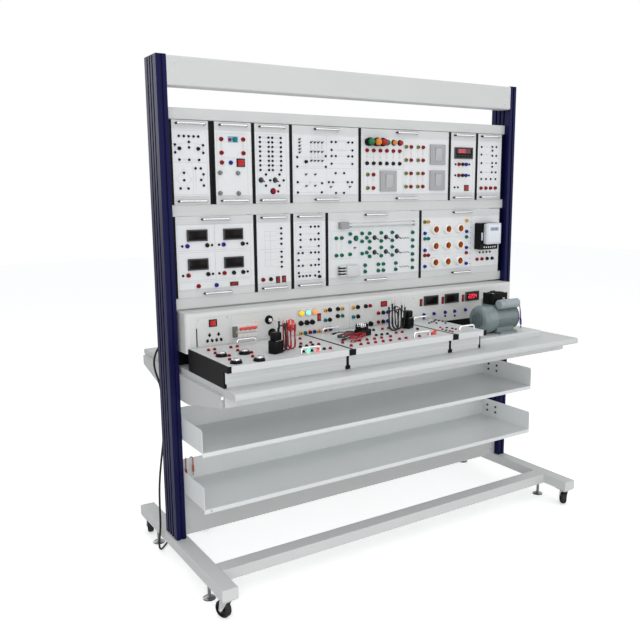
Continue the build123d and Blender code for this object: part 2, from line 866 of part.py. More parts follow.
bezels.append(control_bezel(key_x, key_z))
bezels.append(control_bezel(selector_x, selector_z))
barrel = turned_on_face(((0, -control_inside + 2), (control_bore_d / 2, -control_inside + 2),
                         (control_bore_d / 2, control_collar + 2), (0, control_collar + 2)), key_x, key_z)
key_front = console_face - control_collar - 2
key_blade = block((key_x - 4, key_x + 4), (key_front - 12, key_front), (key_z - 1, key_z + 1))
key_bow = Pos(key_x, key_front - 22, key_z) * Box(22, 22, 2.4)
key_bow = fillet(key_bow.edges().filter_by(Axis.Z), 7)
store("key_switch", barrel + key_blade + key_bow)
knob = turned_on_face(((0, -control_inside + 2), (control_bore_d / 2, -control_inside + 2),
                       (control_bore_d / 2, control_collar + 1), (control_d / 2 - 2, control_collar + 1),
                       (control_d / 2 - 3, control_collar + 12), (0, control_collar + 12)),
                      selector_x, selector_z)
knob_front = console_face - control_collar - 12
pointer = block((selector_x - 2.5, selector_x + 2.5), (knob_front - 5, knob_front + 1),
                (selector_z - 9, selector_z + 9))
store("selector_knob", knob + pointer)
store("switch_bezels", bezels)

# Mains breaker: a row of poles behind a cut-out, with one tied toggle bar
breaker_inside = 50.0
breaker_face = console_face - breaker_proud
lever_y = breaker_face + lever_hub_d / 2 - 2.0
lever_z = (breaker_z[0] + breaker_z[1]) / 2
lever_left = breaker_x[0] + 27.0
lever_right = breaker_x[1] - 2.0
breaker_body = block(breaker_x, (breaker_face, console_face + breaker_inside), breaker_z)
pocket = rod((lever_left - gap, lever_y, lever_z), (1, 0, 0), lever_hub_d + 2 * gap,
             lever_right - lever_left + 2 * gap)
mouth = block((lever_left - gap, lever_right + gap), (breaker_face - 1, lever_y),
              (lever_z - lever_hub_d / 2 - gap, lever_z + lever_hub_d / 2 + gap))
pin_bore = rod((lever_left - 6, lever_y, lever_z), (1, 0, 0), 3.0 + 2 * running_clearance,
               lever_right + 1.8 - lever_left + 6)
store("mains_breaker", breaker_body - pocket - mouth - pin_bore)


def breaker_lever():
    """Four toggles on one hub, tied by a bar, drawn level and then swung up to the on stop."""
    hub = rod((lever_left, 0, 0), (1, 0, 0), lever_hub_d, lever_right - lever_left)
    pole = (lever_right - lever_left) / breaker_poles
    toggles = []
    for i in range(breaker_poles):
        middle = lever_left + (i + 0.5) * pole
        toggles.append(block((middle - 4, middle + 4), (-lever_hub_d / 2 - 9, 0), (-3, 3)))
    bar = block((lever_left + 3, lever_right - 3), (-lever_hub_d / 2 - 13, -lever_hub_d / 2 - 8), (-4, 4))
    pin = rod((lever_left - 5, 0, 0), (1, 0, 0), 3.0, lever_right - lever_left + 5 + 1.5)
    swung = Rot(-breaker_throw / 2, 0, 0) * (hub + toggles + bar + pin)
    return Pos(0, lever_y, lever_z) * swung


store("breaker_lever", breaker_lever())


# Console case: a folded shell with rounded front edges, cut out for everything it carries
def console_case():
    outer = block((-worktop_half, worktop_half), (console_face, console_rear), (console_bottom, console_top))
    front = outer.edges().filter_by(Axis.Z).group_by(Axis.Y)[0]
    top = outer.edges().filter_by(Axis.X).group_by(Axis.Y)[0].sort_by(Axis.Z)[-1:]
    outer = fillet(list(front) + list(top), console_corner)
    inside_top = console_top - console_sheet
    inner = block((-worktop_half + console_sheet, worktop_half - console_sheet),
                  (console_face + console_sheet, console_rear + 1),
                  (console_bottom + console_sheet, inside_top))
    front = inner.edges().filter_by(Axis.Z).group_by(Axis.Y)[0]
    top = inner.edges().filter_by(Axis.X).group_by(Axis.Y)[0].sort_by(Axis.Z)[-1:]
    inner = fillet(list(front) + list(top), console_corner - console_sheet)
    case = outer - inner
    for item in rockers:
        half_long = item.long / 2 - cup_margin
        half_short = item.short / 2 - cup_margin
        window = block((-half_long, half_long), (-1, console_sheet + 1), (-half_short, half_short))
        case -= item.place() * window
    through = console_sheet + 2
    case -= rod((estop_x, console_face - 1, estop_z), (0, 1, 0), estop_collar_d - 6, through)
    for x, z in ((key_x, key_z), (selector_x, selector_z)):
        case -= rod((x, console_face - 1, z), (0, 1, 0), control_bore_d + 5, through)
    case -= block(breaker_x, (console_face - 1, console_face + console_sheet + 1), breaker_z)
    return case


store("console_case", console_case())

rear_face = console_rear + console_sheet
rear_cover = block((-worktop_half, worktop_half), (console_rear, rear_face), (console_bottom, console_top))
rear_cover = fillet(rear_cover.edges().filter_by(Axis.Y), 3)
gland = rod((gland_x, rear_face, gland_z), (0, 1, 0), gland_nut_d, gland_nut_height)
gland_cone = Cone(gland_nut_d * 0.4, gland_nut_d * 0.3, gland_length - gland_nut_height)
gland_middle = rear_face + (gland_length + gland_nut_height) / 2
gland += Pos(gland_x, gland_middle, gland_z) * Rot(-90, 0, 0) * gland_cone
store("console_rear_cover", [rear_cover, gland])

plinth = block((-worktop_half, worktop_half), (plinth_front, console_rear), (worktop_top, console_bottom))
plinth -= block((-worktop_half + plinth_wall, worktop_half - plinth_wall),
                (plinth_front + plinth_wall, console_rear - plinth_wall),
                (worktop_top + plinth_wall, console_bottom + 1))
store("console_plinth", plinth)


# Component boxes: folded lids over open trays, with an overhanging head along the front
box_top = worktop_top + box_height
head_bottom = box_top - box_head_height


def box_outline(inset):
    """Side view of a box in (Y, Z); the inset draws the sheet's inner face."""
    return Polygon(
        (-box_rear - inset, worktop_top + inset),
        (-box_rear - inset, box_top - inset),
        (-box_front_head + inset, box_top - inset),
        (-box_front_head + inset, head_bottom + inset),
        (-box_front_body + inset, head_bottom + inset),
        (-box_front_body + inset, worktop_top + inset),
        align=None,
    )


def box_end_plate(outer, inward):
    """A moulded plate over a box's open end, with a cap lapping its head and a foot below."""
    def reach(length):
        return min(outer, outer + inward * length), max(outer, outer + inward * length)

    plate = along_x(box_outline(0), *reach(box_end - 2 * box_end_gap))
    cap = block(reach(box_cap_width), (-box_front_head - box_cap_proud, -box_front_head),
                (head_bottom, box_top))
    heel = block(reach(box_foot_width), (-box_front_body - box_cap_proud, -box_front_body),
                 (worktop_top, worktop_top + box_foot_height))
    return plate + cap + heel


box_shells = []
box_ends = []
box_handles = []
for left, right in zip(box_bounds[:-1], box_bounds[1:]):
    low = left + box_end
    high = right - box_end
    shell = along_x(box_outline(0), low, high) - along_x(box_outline(box_sheet), low - 1, high + 1)
    box_shells.append(shell)
    box_ends.append(box_end_plate(left + box_end_gap, 1))
    box_ends.append(box_end_plate(right - box_end_gap, -1))
store("box_end_plates", box_ends)

for from_left, y in box_handle_spots:
    grip = u_handle(box_handle_length, box_handle_height, handle_d, handle_bend + 4)
    box_handles.append(Pos(box_bounds[0] + from_left, y, box_top) * Rot(-90, 0, 0) * grip)
store("box_handles", box_handles)

# Motor stand: a low folded tray that carries the motor
stand_left = box_bounds[3]
stand_right = stand_left + motor_base_length
stand_top = worktop_top + motor_base_height
stand = block((stand_left, stand_right), (-motor_base_front, -motor_base_rear), (worktop_top, stand_top))
stand = fillet(stand.edges().filter_by(Axis.X).group_by(Axis.Z)[-1], 5)
stand -= block((stand_left + box_sheet, stand_right - box_sheet),
               (-motor_base_front + box_sheet, -motor_base_rear - box_sheet),
               (worktop_top - 1, stand_top - box_sheet))
store("component_boxes", box_shells + [stand])

# Motor: finned housing on two feet, fan cowl, turning shaft with its fan
axis_z = stand_top + motor_axis_height
housing_start = cowl_start + cowl_length
housing_end = housing_start + housing_length
housing_r = housing_d / 2
housing_mid = (housing_start + housing_end) / 2
pad_top = axis_z + housing_r + rib_height + pad_rise
motor_place = Pos(0, motor_axis_y, axis_z)


def motor_housing():
    section = Circle(housing_r)
    ribs = []
    for i in range(rib_count):
        angle = i * 360 / rib_count
        ribs.append(Rot(0, 0, angle) * Pos(housing_r + rib_height / 2 - 1, 0)
                    * Rectangle(rib_height + 2, rib_width))
    section = section + ribs
    body = motor_place * along_x(section, housing_start, housing_end)
    body += motor_place * rod((housing_start, 0, 0), (1, 0, 0), cowl_d - 2 * cowl_wall - 2 * gap, 10)
    shield = Cone(housing_r + rib_height, housing_r - 8, shield_length)
    body += motor_place * Pos(housing_end + shield_length / 2, 0, 0) * Rot(0, 90, 0) * shield
    bore_r = shaft_d / 2 + running_clearance
    body -= motor_place * rod((housing_start - 1, 0, 0), (1, 0, 0), 2 * bore_r,
                              housing_length + shield_length + 2)
    mid = (housing_start + housing_end) / 2
    for sign in (-1, 1):
        y = motor_axis_y + sign * (foot_span / 2 + 4)
        near = motor_axis_y + sign * (foot_span / 2 - 22)
        low, high = min(near, y + sign * 10), max(near, y + sign * 10)
        foot = block((mid - foot_length / 2, mid + foot_length / 2), (low, high),
                     (stand_top, stand_top + 9))
        web = block((mid - foot_length / 2, mid + foot_length / 2),
                    (min(near, near + sign * 12), max(near, near + sign * 12)),
                    (stand_top, axis_z - housing_r * 0.55))
        foot += web
        for dx in (-0.4, 0.4):
            foot -= rod((mid + dx * foot_length, y + sign * 3, stand_top - 1), (0, 0, 1), 7, 20)
        body += foot - motor_place * rod((mid - foot_length, 0, 0), (1, 0, 0), 2 * bore_r, 2 * foot_length)
    pad = block((mid - pad_left, mid + pad_right), (motor_axis_y - pad_front, motor_axis_y + pad_rear),
                (axis_z + pad_low, pad_top))
    pad -= motor_place * rod((mid - housing_length, 0, 0), (1, 0, 0), housing_d - 4, 2 * housing_length)
    body += pad
    return body


store("motor_housing", motor_housing())


# Fan cowl: a pressed dome with rows of air slots over its end
def motor_cowl():
    outer_r = cowl_d / 2
    length = cowl_length
    with_dome = make_face(
        Polyline((0, 0), (outer_r * 0.62, 0))
        + ThreePointArc((outer_r * 0.62, 0), (outer_r * 0.9, length * 0.16), (outer_r, length * 0.45))
        + Polyline((outer_r, length * 0.45), (outer_r, length), (outer_r - cowl_wall, length),
                   (outer_r - cowl_wall, length * 0.45))
        + ThreePointArc((outer_r - cowl_wall, length * 0.45),
                        (outer_r * 0.9 - cowl_wall, length * 0.16 + cowl_wall),
                        (outer_r * 0.62 - cowl_wall * 0.5, cowl_wall))
        + Polyline((outer_r * 0.62 - cowl_wall * 0.5, cowl_wall), (0, cowl_wall), (0, 0)))
    cowl = revolve(Plane.XZ * with_dome, Axis.Z)
    slots = []
    for row in range(-3, 4):
        y = row * 9.0
        half = sqrt((outer_r * 0.62) ** 2 - y * y) - 5
        slots.append(Pos(0, y) * Rectangle(2 * half, 3.6))
    cowl -= along_z(Sketch() + slots, -1, cowl_wall + 1)
    return motor_place * Pos(cowl_start, 0, 0) * Rot(0, 90, 0) * cowl


store("motor_cowl", motor_cowl())


# Rotor: shaft through both ends with a bladed fan inside the cowl
def motor_rotor():
    shaft_start = cowl_start + 14
    shaft_end = housing_end + shield_length + shaft_reach
    rotor = rod((shaft_start, 0, 0), (1, 0, 0), shaft_d, shaft_end - shaft_start)
    fan_start = cowl_start + 20
    rotor += rod((fan_start, 0, 0), (1, 0, 0), 30, 22)
    rotor += rod((fan_start + 19, 0, 0), (1, 0, 0), cowl_d - 26, 3)
    blades = []
    for i in range(7):
        blade = block((fan_start, fan_start + 19.5), (-1.2, 1.2), (13, cowl_d / 2 - 14))
        blades.append(Rot(i * 360 / 7, 0, 0) * blade)
    rotor += blades
    key_slot = block((shaft_end - 18, shaft_end + 1), (-2, 2), (shaft_d / 2 - 2, shaft_d / 2 + 1))
    return motor_place * (rotor - key_slot)


store("motor_rotor", motor_rotor())

box_length, box_depth, box_tall = terminal_box
box_left = housing_mid - terminal_box_left
box_near = motor_axis_y - terminal_box_front
tbox = block((box_left, box_left + box_length), (box_near, box_near + box_depth),
             (pad_top, pad_top + box_tall))
tbox = fillet(tbox.edges().filter_by(Axis.Z), terminal_box_corner)
lid_line = RectangleRounded(box_length + 2, box_depth + 2, terminal_box_corner)
lid_line -= RectangleRounded(box_length - 2, box_depth - 2, terminal_box_corner - 1)
lid_place = Pos(box_left + box_length / 2, box_near + box_depth / 2, pad_top + box_tall * 0.62)
tbox -= lid_place * along_z(lid_line, 0, 1.5)
store("motor_terminal_box", tbox)

cap_seat = 0.2
cap_reach = housing_r + rib_height + capacitor_d / 2 + cap_seat
cap_y = motor_axis_y - sin(radians(capacitor_lean)) * cap_reach
cap_z = axis_z + cos(radians(capacitor_lean)) * cap_reach
cap_start = box_left
capacitor = rod((cap_start, cap_y, cap_z), (1, 0, 0), capacitor_d, capacitor_length)
capacitor = fillet(capacitor.edges().filter_by(GeomType.CIRCLE), 3)
strap = rod((cap_start + 24, cap_y, cap_z), (1, 0, 0), capacitor_d + 3, 10)
strap += block((cap_start + 24, cap_start + 34), (cap_y - 2, cap_y + 2),
               (cap_z + capacitor_d / 2, cap_z + capacitor_d / 2 + 9))
strap -= rod((cap_start + 20, cap_y, cap_z), (1, 0, 0), capacitor_d, 20)
strap -= motor_place * rod((cap_start, 0, 0), (1, 0, 0), housing_d + 4 * rib_height, 60)
store("motor_capacitor", [capacitor, strap])


# Cords
def tube_along(points, diameter, name):
    """Straight runs joined by arcs as large as the runs allow, swept with a round section."""
    vectors = [Vector(*point) for point in points]
    runs = [(b - a).length for a, b in zip(vectors[:-1], vectors[1:])]
    radii = []
    for i in range(1, len(vectors) - 1):
        turn = radians((vectors[i] - vectors[i - 1]).get_angle(vectors[i + 1] - vectors[i]))
        radii.append(0.45 * min(runs[i - 1], runs[i]) / tan(turn / 2))
    path = FilletPolyline(*points, radius=radii)
    start = Plane(origin=points[0], z_dir=vectors[1] - vectors[0])
    solid = sweep(start * Circle(diameter / 2), path=path)
    expected = pi * diameter ** 2 / 4 * path.length
    print(name, "length", round(path.length, 1), "radii", [round(r, 1) for r in radii],
          "volume ratio", round(solid.volume / expected, 5))
    report.append(path.length)
    return solid


gland_end = rear_face + gland_length
coil_x, coil_y = coil_centre
coil_start = (coil_x - coil_outer_r, coil_y, cord_d / 2)
mains_route = [
    (gland_x, gland_end, gland_z),
    (-785, 170, 872), (-812, 202, 860), (-848, 204, 822), (-864, 194, 768), (-844, 182, 696),
    (-837, 176, 606), (-842, 168, 504), (-862, 158, 402), (-879, 146, 310), (-884, 139, 220),
    (-884, 139, 130), (-888, 160, 52), (-866, 205, cord_d / 2), (-836, 236, cord_d / 2),
    (-798, 282, cord_d / 2), (-771, 324, cord_d / 2), (coil_start[0], coil_y - 44, cord_d / 2),
    coil_start,
]
store("mains_cord", tube_along(mains_route, cord_d, "mains cord"))


def flat_half(start, heading, radius, side):
    """Half a turn in a level plane, from a point and its heading, turning to the side."""
    across = Vector(heading.Y * side, -heading.X * side, 0)
    centre = start + across * radius
    top = centre + heading * radius
    end = centre + across * radius
    return ThreePointArc(start, top, end), end


def rising_half(start, heading, radius, side, rise):
    """Half a turn that climbs, as two arcs that meet with one tangent."""
    across = Vector(heading.Y * side, -heading.X * side, 0)
    end = start + across * (2 * radius) + Vector(0, 0, rise)
    reach = sqrt(radius ** 2 + rise ** 2 / 4)
    middle = start + across * radius + heading * reach + Vector(0, 0, rise / 2)
    first = TangentArc(start, middle, tangent=heading)
    second = TangentArc(end, middle, tangent=heading)
    return [first, second], end


def coil_path():
    """Spiral in on the floor, climb one layer in the tightest half turn, spiral out again."""
    here = Vector(*coil_start)
    heading = Vector(0, 1, 0)
    pieces = []
    step = coil_pitch / 2
    radii = [coil_outer_r - i * step for i in range(coil_inward_halves)]
    for radius in radii:
        arc, here = flat_half(here, heading, radius, 1)
        pieces.append([arc])
        heading = -heading
    arcs, here = rising_half(here, heading, radii[-1] - step, 1, coil_pitch)
    pieces.append(arcs)
    heading = -heading
    for radius in reversed(radii):
        arc, here = flat_half(here, heading, radius, 1)
        pieces.append([arc])
        heading = -heading
    tail = here + heading * coil_tail
    pieces.append([Line(here, tail)])
    return pieces, tail, heading


def least_gap(pieces, diameter, reach):
    """Smallest clear distance between stretches of a path that aren't neighbours."""
    points = []
    travelled = 0.0
    for group in pieces:
        for edge in group:
            count = max(4, ceil(edge.length / 6))
            flip = False
            if points and (edge @ 0 - points[-1][1]).length > (edge @ 1 - points[-1][1]).length:
                flip = True
            for i in range(count + 1):
                t = i / count
                points.append((travelled + t * edge.length, edge @ (1 - t if flip else t)))
            travelled += edge.length
    best = 1e9
    for i, (s, p) in enumerate(points):
        for r, q in points[i + 1:]:
            if r - s > reach:
                best = min(best, (p - q).length - diameter)
    return best, travelled


coil_pieces, coil_end, coil_heading = coil_path()
coil_wire = Wire([edge for group in coil_pieces for edge in group])
coil_solid = sweep(Plane(origin=coil_start, z_dir=(0, 1, 0)) * Circle(cord_d / 2), path=coil_wire)
clear, coil_length = least_gap(coil_pieces, cord_d, coil_outer_r * 2)
print("mains coil length", round(coil_length, 1), "least gap", round(clear, 2),
      "volume ratio", round(coil_solid.volume / (pi * cord_d ** 2 / 4 * coil_length), 5))
store("mains_cord_coil", coil_solid)
print("mains cord whole length", round(report[0] + coil_length))


# Mains plug: tapered strain relief, moulded body and three flat pins
def mains_plug():
    base = Plane(origin=coil_end, x_dir=(1, 0, 0), z_dir=coil_heading)
    relief = loft([base * Circle(cord_d / 2 + 1), base.offset(plug_relief) * Circle(cord_d / 2 + 3)])
    height = 2 * coil_end.Z
    section = RectangleRounded(plug_width, height, 5)
    waist = RectangleRounded(plug_width * 0.6, height * 0.8, 4)
    body = loft([base.offset(plug_relief) * waist, base.offset(plug_relief + 14) * section])
    body += extrude(base.offset(plug_relief + 14) * section, plug_length - 14)
    pins = []
    for dx, dz, turn in ((0, 4, 0), (-8, -4, 30), (8, -4, -30)):
        pin_base = base.offset(plug_relief + plug_length) * Pos(dx, dz) * Rot(0, 0, turn)
        pin = extrude(pin_base * Rectangle(2, 6), plug_pin)
        pins.append(pin)
    return relief + body + pins


store("mains_plug", mains_plug())


# Patch leads: each folded in loops, with a stacking plug at both ends
def banana_plug():
    """Strain relief, grip, collar and pin in line, turned about Z from the lead's end upwards."""
    grip_start = banana_relief
    collar_start = grip_start + banana_grip
    pin_start = collar_start + banana_collar
    section = make_face(Polyline(
        (0, 0), (banana_relief_d / 2, 0), (banana_grip_d / 2, grip_start),
        (banana_grip_d / 2, collar_start), (banana_collar_d / 2, collar_start),
        (banana_collar_d / 2, pin_start), (banana_pin_d / 2, pin_start),
        (banana_pin_d / 2, pin_start + banana_pin), (0, pin_start + banana_pin), (0, 0)))
    return revolve(Plane.XZ * section, Axis.Z)


def swerve(start, end):
    """Two equal arcs that leave one point straight up or down and reach the other the same way."""
    way = 1 if end[2] > start[2] else -1
    middle = tuple((a + b) / 2 for a, b in zip(start, end))
    return [TangentArc(start, middle, tangent=(0, 0, way)),
            TangentArc(end, middle, tangent=(0, 0, -way))]


def hank(loops, tall, wide):
    """A lead in loops side by side along X, standing on Z 0, and the plugs at its two ends."""
    half = wide / 2
    low = lead_d / 2 + half
    high = tall - low
    start = (-lead_pitch, -half - lead_flare, high)
    pieces = [swerve(start, (0, -half, low))]
    for i in range(loops):
        x = i * lead_pitch
        pieces.append([ThreePointArc((x, -half, low), (x, 0, low - half), (x, half, low))])
        if i < loops - 1:
            pieces.append([Line((x, half, low), (x, half, high))])
            pieces.append([ThreePointArc((x, half, high), (x, 0, high + half), (x, -half, high))])
            pieces.append(swerve((x, -half, high), (x + lead_pitch, -half, low)))
    end = (x + lead_pitch, half + lead_flare, high)
    pieces.append(swerve((x, half, low), end))
    wire = Wire([edge for group in pieces for edge in group])
    tube = sweep(Plane(origin=start, z_dir=(0, 0, -1)) * Circle(lead_d / 2), path=wire)
    clear, length = least_gap(pieces, lead_d, wide * 1.2)
    print("lead length", round(length, 1), "least gap", round(clear, 2),
          "volume ratio", round(tube.volume / (pi * lead_d ** 2 / 4 * length), 5))
    return [tube, Pos(*start) * banana_plug(), Pos(*end) * banana_plug()]


def set_down(place, loops, tall, wide):
    """Put a hank in its place, with its plugs."""
    for piece in hank(loops, tall, wide):
        leads.append(place * piece)


leads = []
standing = box_top + gap
lying = box_top + banana_collar_d / 2 + gap + lead_pitch
left_stack = Pos(-520.0, -255.0, standing) * Rot(0, 0, 20)
right_stack = Pos(40.0, -165.0, standing) * Rot(0, 0, 25)
lying_stack = Pos(-220.0, -215.0, lying) * Rot(0, 0, 24) * Rot(0, -90, 0)
for shift, loops, tall in ((-36.0, 3, 94.0), (-8.0, 2, 84.0), (15.0, 2, 82.0)):
    set_down(left_stack * Pos(shift, 0, 0), loops, tall, 34.0)
for shift, loops, tall in ((-38.0, 3, 86.0), (-10.0, 3, 96.0), (18.0, 2, 84.0)):
    set_down(right_stack * Pos(shift, 0, 0), loops, tall, 40.0)
for across in (-26.0, 26.0):
    set_down(lying_stack * Pos(0, across, -48), 3, 96.0, 30.0)



def draped_lead(inside, outside, turn):
    """A lead over a wall's top edge, with its two plugs hanging; Z 0 is the edge."""
    crown = gap + lead_d / 2 - lead_drape_r
    top = (0, 0, crown + lead_drape_r)
    near = (0, -lead_drape_r, crown)
    far = (0, lead_drape_r, crown)
    near_end = (0, -lead_drape_r, crown - inside)
    far_end = (0, lead_drape_r, crown - outside)
    wire = Wire([Line(near_end, near), ThreePointArc(near, top, far), Line(far, far_end)])
    tube = sweep(Plane(origin=near_end, z_dir=(0, 0, 1)) * Circle(lead_d / 2), path=wire)
    print("draped lead length", round(wire.length, 1))
    plugs = [Pos(*end) * Rot(180, 0, 0) * banana_plug() for end in (near_end, far_end)]
    return [Rot(0, 0, turn) * piece for piece in [tube] + plugs]


# Three more hang over the rear wall of the lower tray, seen past the left upright
wall_top = lower_tray_floor + tray_wall_height
wall_y = tray_rear - tray_sheet / 2
for x, inside, outside, turn in ((-790.0, 26.0, 70.0, 18.0), (-768.0, 34.0, 90.0, -24.0),
                                 (-745.0, 22.0, 60.0, 30.0)):
    for piece in draped_lead(inside, outside, turn):
        leads.append(Pos(x, wall_y, wall_top) * piece)
store("patch_leads", leads)

# Motor leads: out of the terminal box, over the shaft's end and down to plugs on the stand
plug_long = banana_relief + banana_grip + banana_collar + banana_pin
lead_exit_x = box_left + box_length
lead_exit_z = pad_top + motor_lead_rise
plug_z = stand_top + gap + plug_long
motor_leads = []
for exit_shift, reach, end_shift in motor_lead_ends:
    exit_y = motor_axis_y + exit_shift
    x = lead_exit_x + reach
    y = motor_axis_y + end_shift
    route = [
        (lead_exit_x, exit_y, lead_exit_z), (lead_exit_x + motor_lead_run, exit_y, lead_exit_z),
        (x - 12, (exit_y + y) / 2, lead_exit_z - 8), (x - 2, y, plug_z + 30), (x, y, plug_z)]
    motor_leads.append(tube_along(route, motor_lead_d, "motor lead"))
    heading = Vector(*route[-1]) - Vector(*route[-2])
    motor_leads.append(Plane(origin=route[-1], z_dir=heading) * banana_plug())
store("motor_leads", motor_leads)

for name, solids in nodes.items():
    shape = solids[0] if len(solids) == 1 else Compound(children=solids)
    export_step(shape, "parts/" + name + ".step")
print(len(nodes), "nodes,", sum(len(solids) for solids in nodes.values()), "solids")
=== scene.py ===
import json
import math
import bmesh
import bpy
from mathutils import Matrix, Vector

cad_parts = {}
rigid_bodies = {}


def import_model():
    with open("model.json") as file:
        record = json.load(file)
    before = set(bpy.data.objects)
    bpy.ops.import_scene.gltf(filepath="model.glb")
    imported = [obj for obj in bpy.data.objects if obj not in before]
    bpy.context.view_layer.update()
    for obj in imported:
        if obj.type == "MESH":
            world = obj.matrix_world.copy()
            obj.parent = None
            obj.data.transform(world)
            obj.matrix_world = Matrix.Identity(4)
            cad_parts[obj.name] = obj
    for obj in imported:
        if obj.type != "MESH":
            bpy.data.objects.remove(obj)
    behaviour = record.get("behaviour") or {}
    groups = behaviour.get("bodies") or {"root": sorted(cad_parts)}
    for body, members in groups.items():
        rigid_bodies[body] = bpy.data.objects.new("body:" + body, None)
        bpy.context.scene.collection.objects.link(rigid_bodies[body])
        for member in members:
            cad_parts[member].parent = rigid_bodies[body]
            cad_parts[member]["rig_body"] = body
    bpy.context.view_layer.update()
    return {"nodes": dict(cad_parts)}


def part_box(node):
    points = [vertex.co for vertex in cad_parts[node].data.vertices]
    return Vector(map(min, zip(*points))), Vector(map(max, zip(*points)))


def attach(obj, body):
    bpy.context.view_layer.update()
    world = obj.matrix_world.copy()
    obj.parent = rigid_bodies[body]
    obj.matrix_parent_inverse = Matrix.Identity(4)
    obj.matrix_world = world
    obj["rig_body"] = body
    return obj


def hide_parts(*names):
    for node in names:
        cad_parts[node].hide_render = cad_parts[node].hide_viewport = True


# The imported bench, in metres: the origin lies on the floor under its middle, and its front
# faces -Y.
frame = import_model()
scene = bpy.context.scene
scene.view_settings.view_transform = "Standard"


# Camera: stands to the left of the bench, above the worktop, and looks slightly down.
# Its place and angles were recovered from the photograph.
camera_place = Vector((-1.7856, -2.48965, 1.4179))
camera_yaw = 0.5594
camera_pitch = -0.1708
camera_roll = -0.0092
ahead = Vector((math.sin(camera_yaw) * math.cos(camera_pitch),
                math.cos(camera_yaw) * math.cos(camera_pitch),
                math.sin(camera_pitch)))
level_right = Vector((math.cos(camera_yaw), -math.sin(camera_yaw), 0))
level_up = level_right.cross(ahead)
right = math.cos(camera_roll) * level_right + math.sin(camera_roll) * level_up
up = math.cos(camera_roll) * level_up - math.sin(camera_roll) * level_right
camera_data = bpy.data.cameras.new("camera")
camera_data.lens = 41.455
camera_data.sensor_width = 36
camera = bpy.data.objects.new("camera", camera_data)
scene.collection.objects.link(camera)
turn = Matrix((right, up, -ahead)).transposed().to_4x4()
camera.matrix_world = Matrix.Translation(camera_place) @ turn
scene.camera = camera


# Room: a wide pale floor that keeps the shadow, a white surround and soft lamps.
# The lamps stand in front, above and behind, so that no side of the bench is dark.
def plain_material(name, colour, rough=0.5, metal=0.0):
    made = bpy.data.materials.new(name)
    made.use_nodes = True
    shader = made.node_tree.nodes["Principled BSDF"]
    shader.inputs["Base Color"].default_value = (*colour, 1)
    shader.inputs["Roughness"].default_value = rough
    shader.inputs["Metallic"].default_value = metal
    return made


def white_to_the_camera(tree, shader_out, target, strength):
    """Adds the light of a white surround for camera, mirror and glass rays."""
    path = tree.nodes.new("ShaderNodeLightPath")
    seen = tree.nodes.new("ShaderNodeMath")
    seen.operation = "ADD"
    seen.use_clamp = True
    tree.links.new(path.outputs["Is Camera Ray"], seen.inputs[0])
    tree.links.new(path.outputs["Is Glossy Ray"], seen.inputs[1])
    both = tree.nodes.new("ShaderNodeMath")
    both.operation = "ADD"
    both.use_clamp = True
    tree.links.new(seen.outputs[0], both.inputs[0])
    tree.links.new(path.outputs["Is Transmission Ray"], both.inputs[1])
    white = tree.nodes.new("ShaderNodeBackground" if strength is None else "ShaderNodeEmission")
    white.inputs["Color"].default_value = (1, 1, 1, 1)
    white.inputs["Strength"].default_value = 1.0 if strength is None else strength
    mix = tree.nodes.new("ShaderNodeMixShader")
    tree.links.new(both.outputs[0], mix.inputs["Fac"])
    tree.links.new(shader_out, mix.inputs[1])
    tree.links.new(white.outputs[0], mix.inputs[2])
    tree.links.new(mix.outputs[0], target)
    return mix


world = bpy.data.worlds.new("surround")
scene.world = world
world.use_nodes = True
sky = world.node_tree.nodes["Background"]
sky.inputs["Color"].default_value = (0.97, 0.98, 1.0, 1)
sky.inputs["Strength"].default_value = 0.54
white_to_the_camera(world.node_tree, sky.outputs[0],
                    world.node_tree.nodes["World Output"].inputs["Surface"], None)

floor_mesh = bpy.data.meshes.new("floor")
floor_mesh.from_pydata([(-14, -9, 0), (14, -9, 0), (14, 14, 0), (-14, 14, 0)], [], [(0, 1, 2, 3)])
floor = bpy.data.objects.new("floor", floor_mesh)
scene.collection.objects.link(floor)
floor_material = plain_material("pale_floor", (0.93, 0.93, 0.93), 0.9)
floor_tree = floor_material.node_tree
floor_surface = floor_tree.nodes["Principled BSDF"]
floor_mesh.materials.append(floor_material)
floor_glow = floor_tree.nodes.new("ShaderNodeEmission")
floor_glow.inputs["Color"].default_value = (1, 1, 1, 1)
floor_path = floor_tree.nodes.new("ShaderNodeLightPath")
floor_share = floor_tree.nodes.new("ShaderNodeMath")
floor_share.operation = "MULTIPLY"
floor_share.inputs[1].default_value = 0.45
floor_tree.links.new(floor_path.outputs["Is Camera Ray"], floor_share.inputs[0])
floor_tree.links.new(floor_share.outputs[0], floor_glow.inputs["Strength"])
floor_sum = floor_tree.nodes.new("ShaderNodeAddShader")
floor_tree.links.new(floor_surface.outputs[0], floor_sum.inputs[0])
floor_tree.links.new(floor_glow.outputs[0], floor_sum.inputs[1])
floor_tree.links.new(floor_sum.outputs[0], floor_tree.nodes["Material Output"].inputs["Surface"])

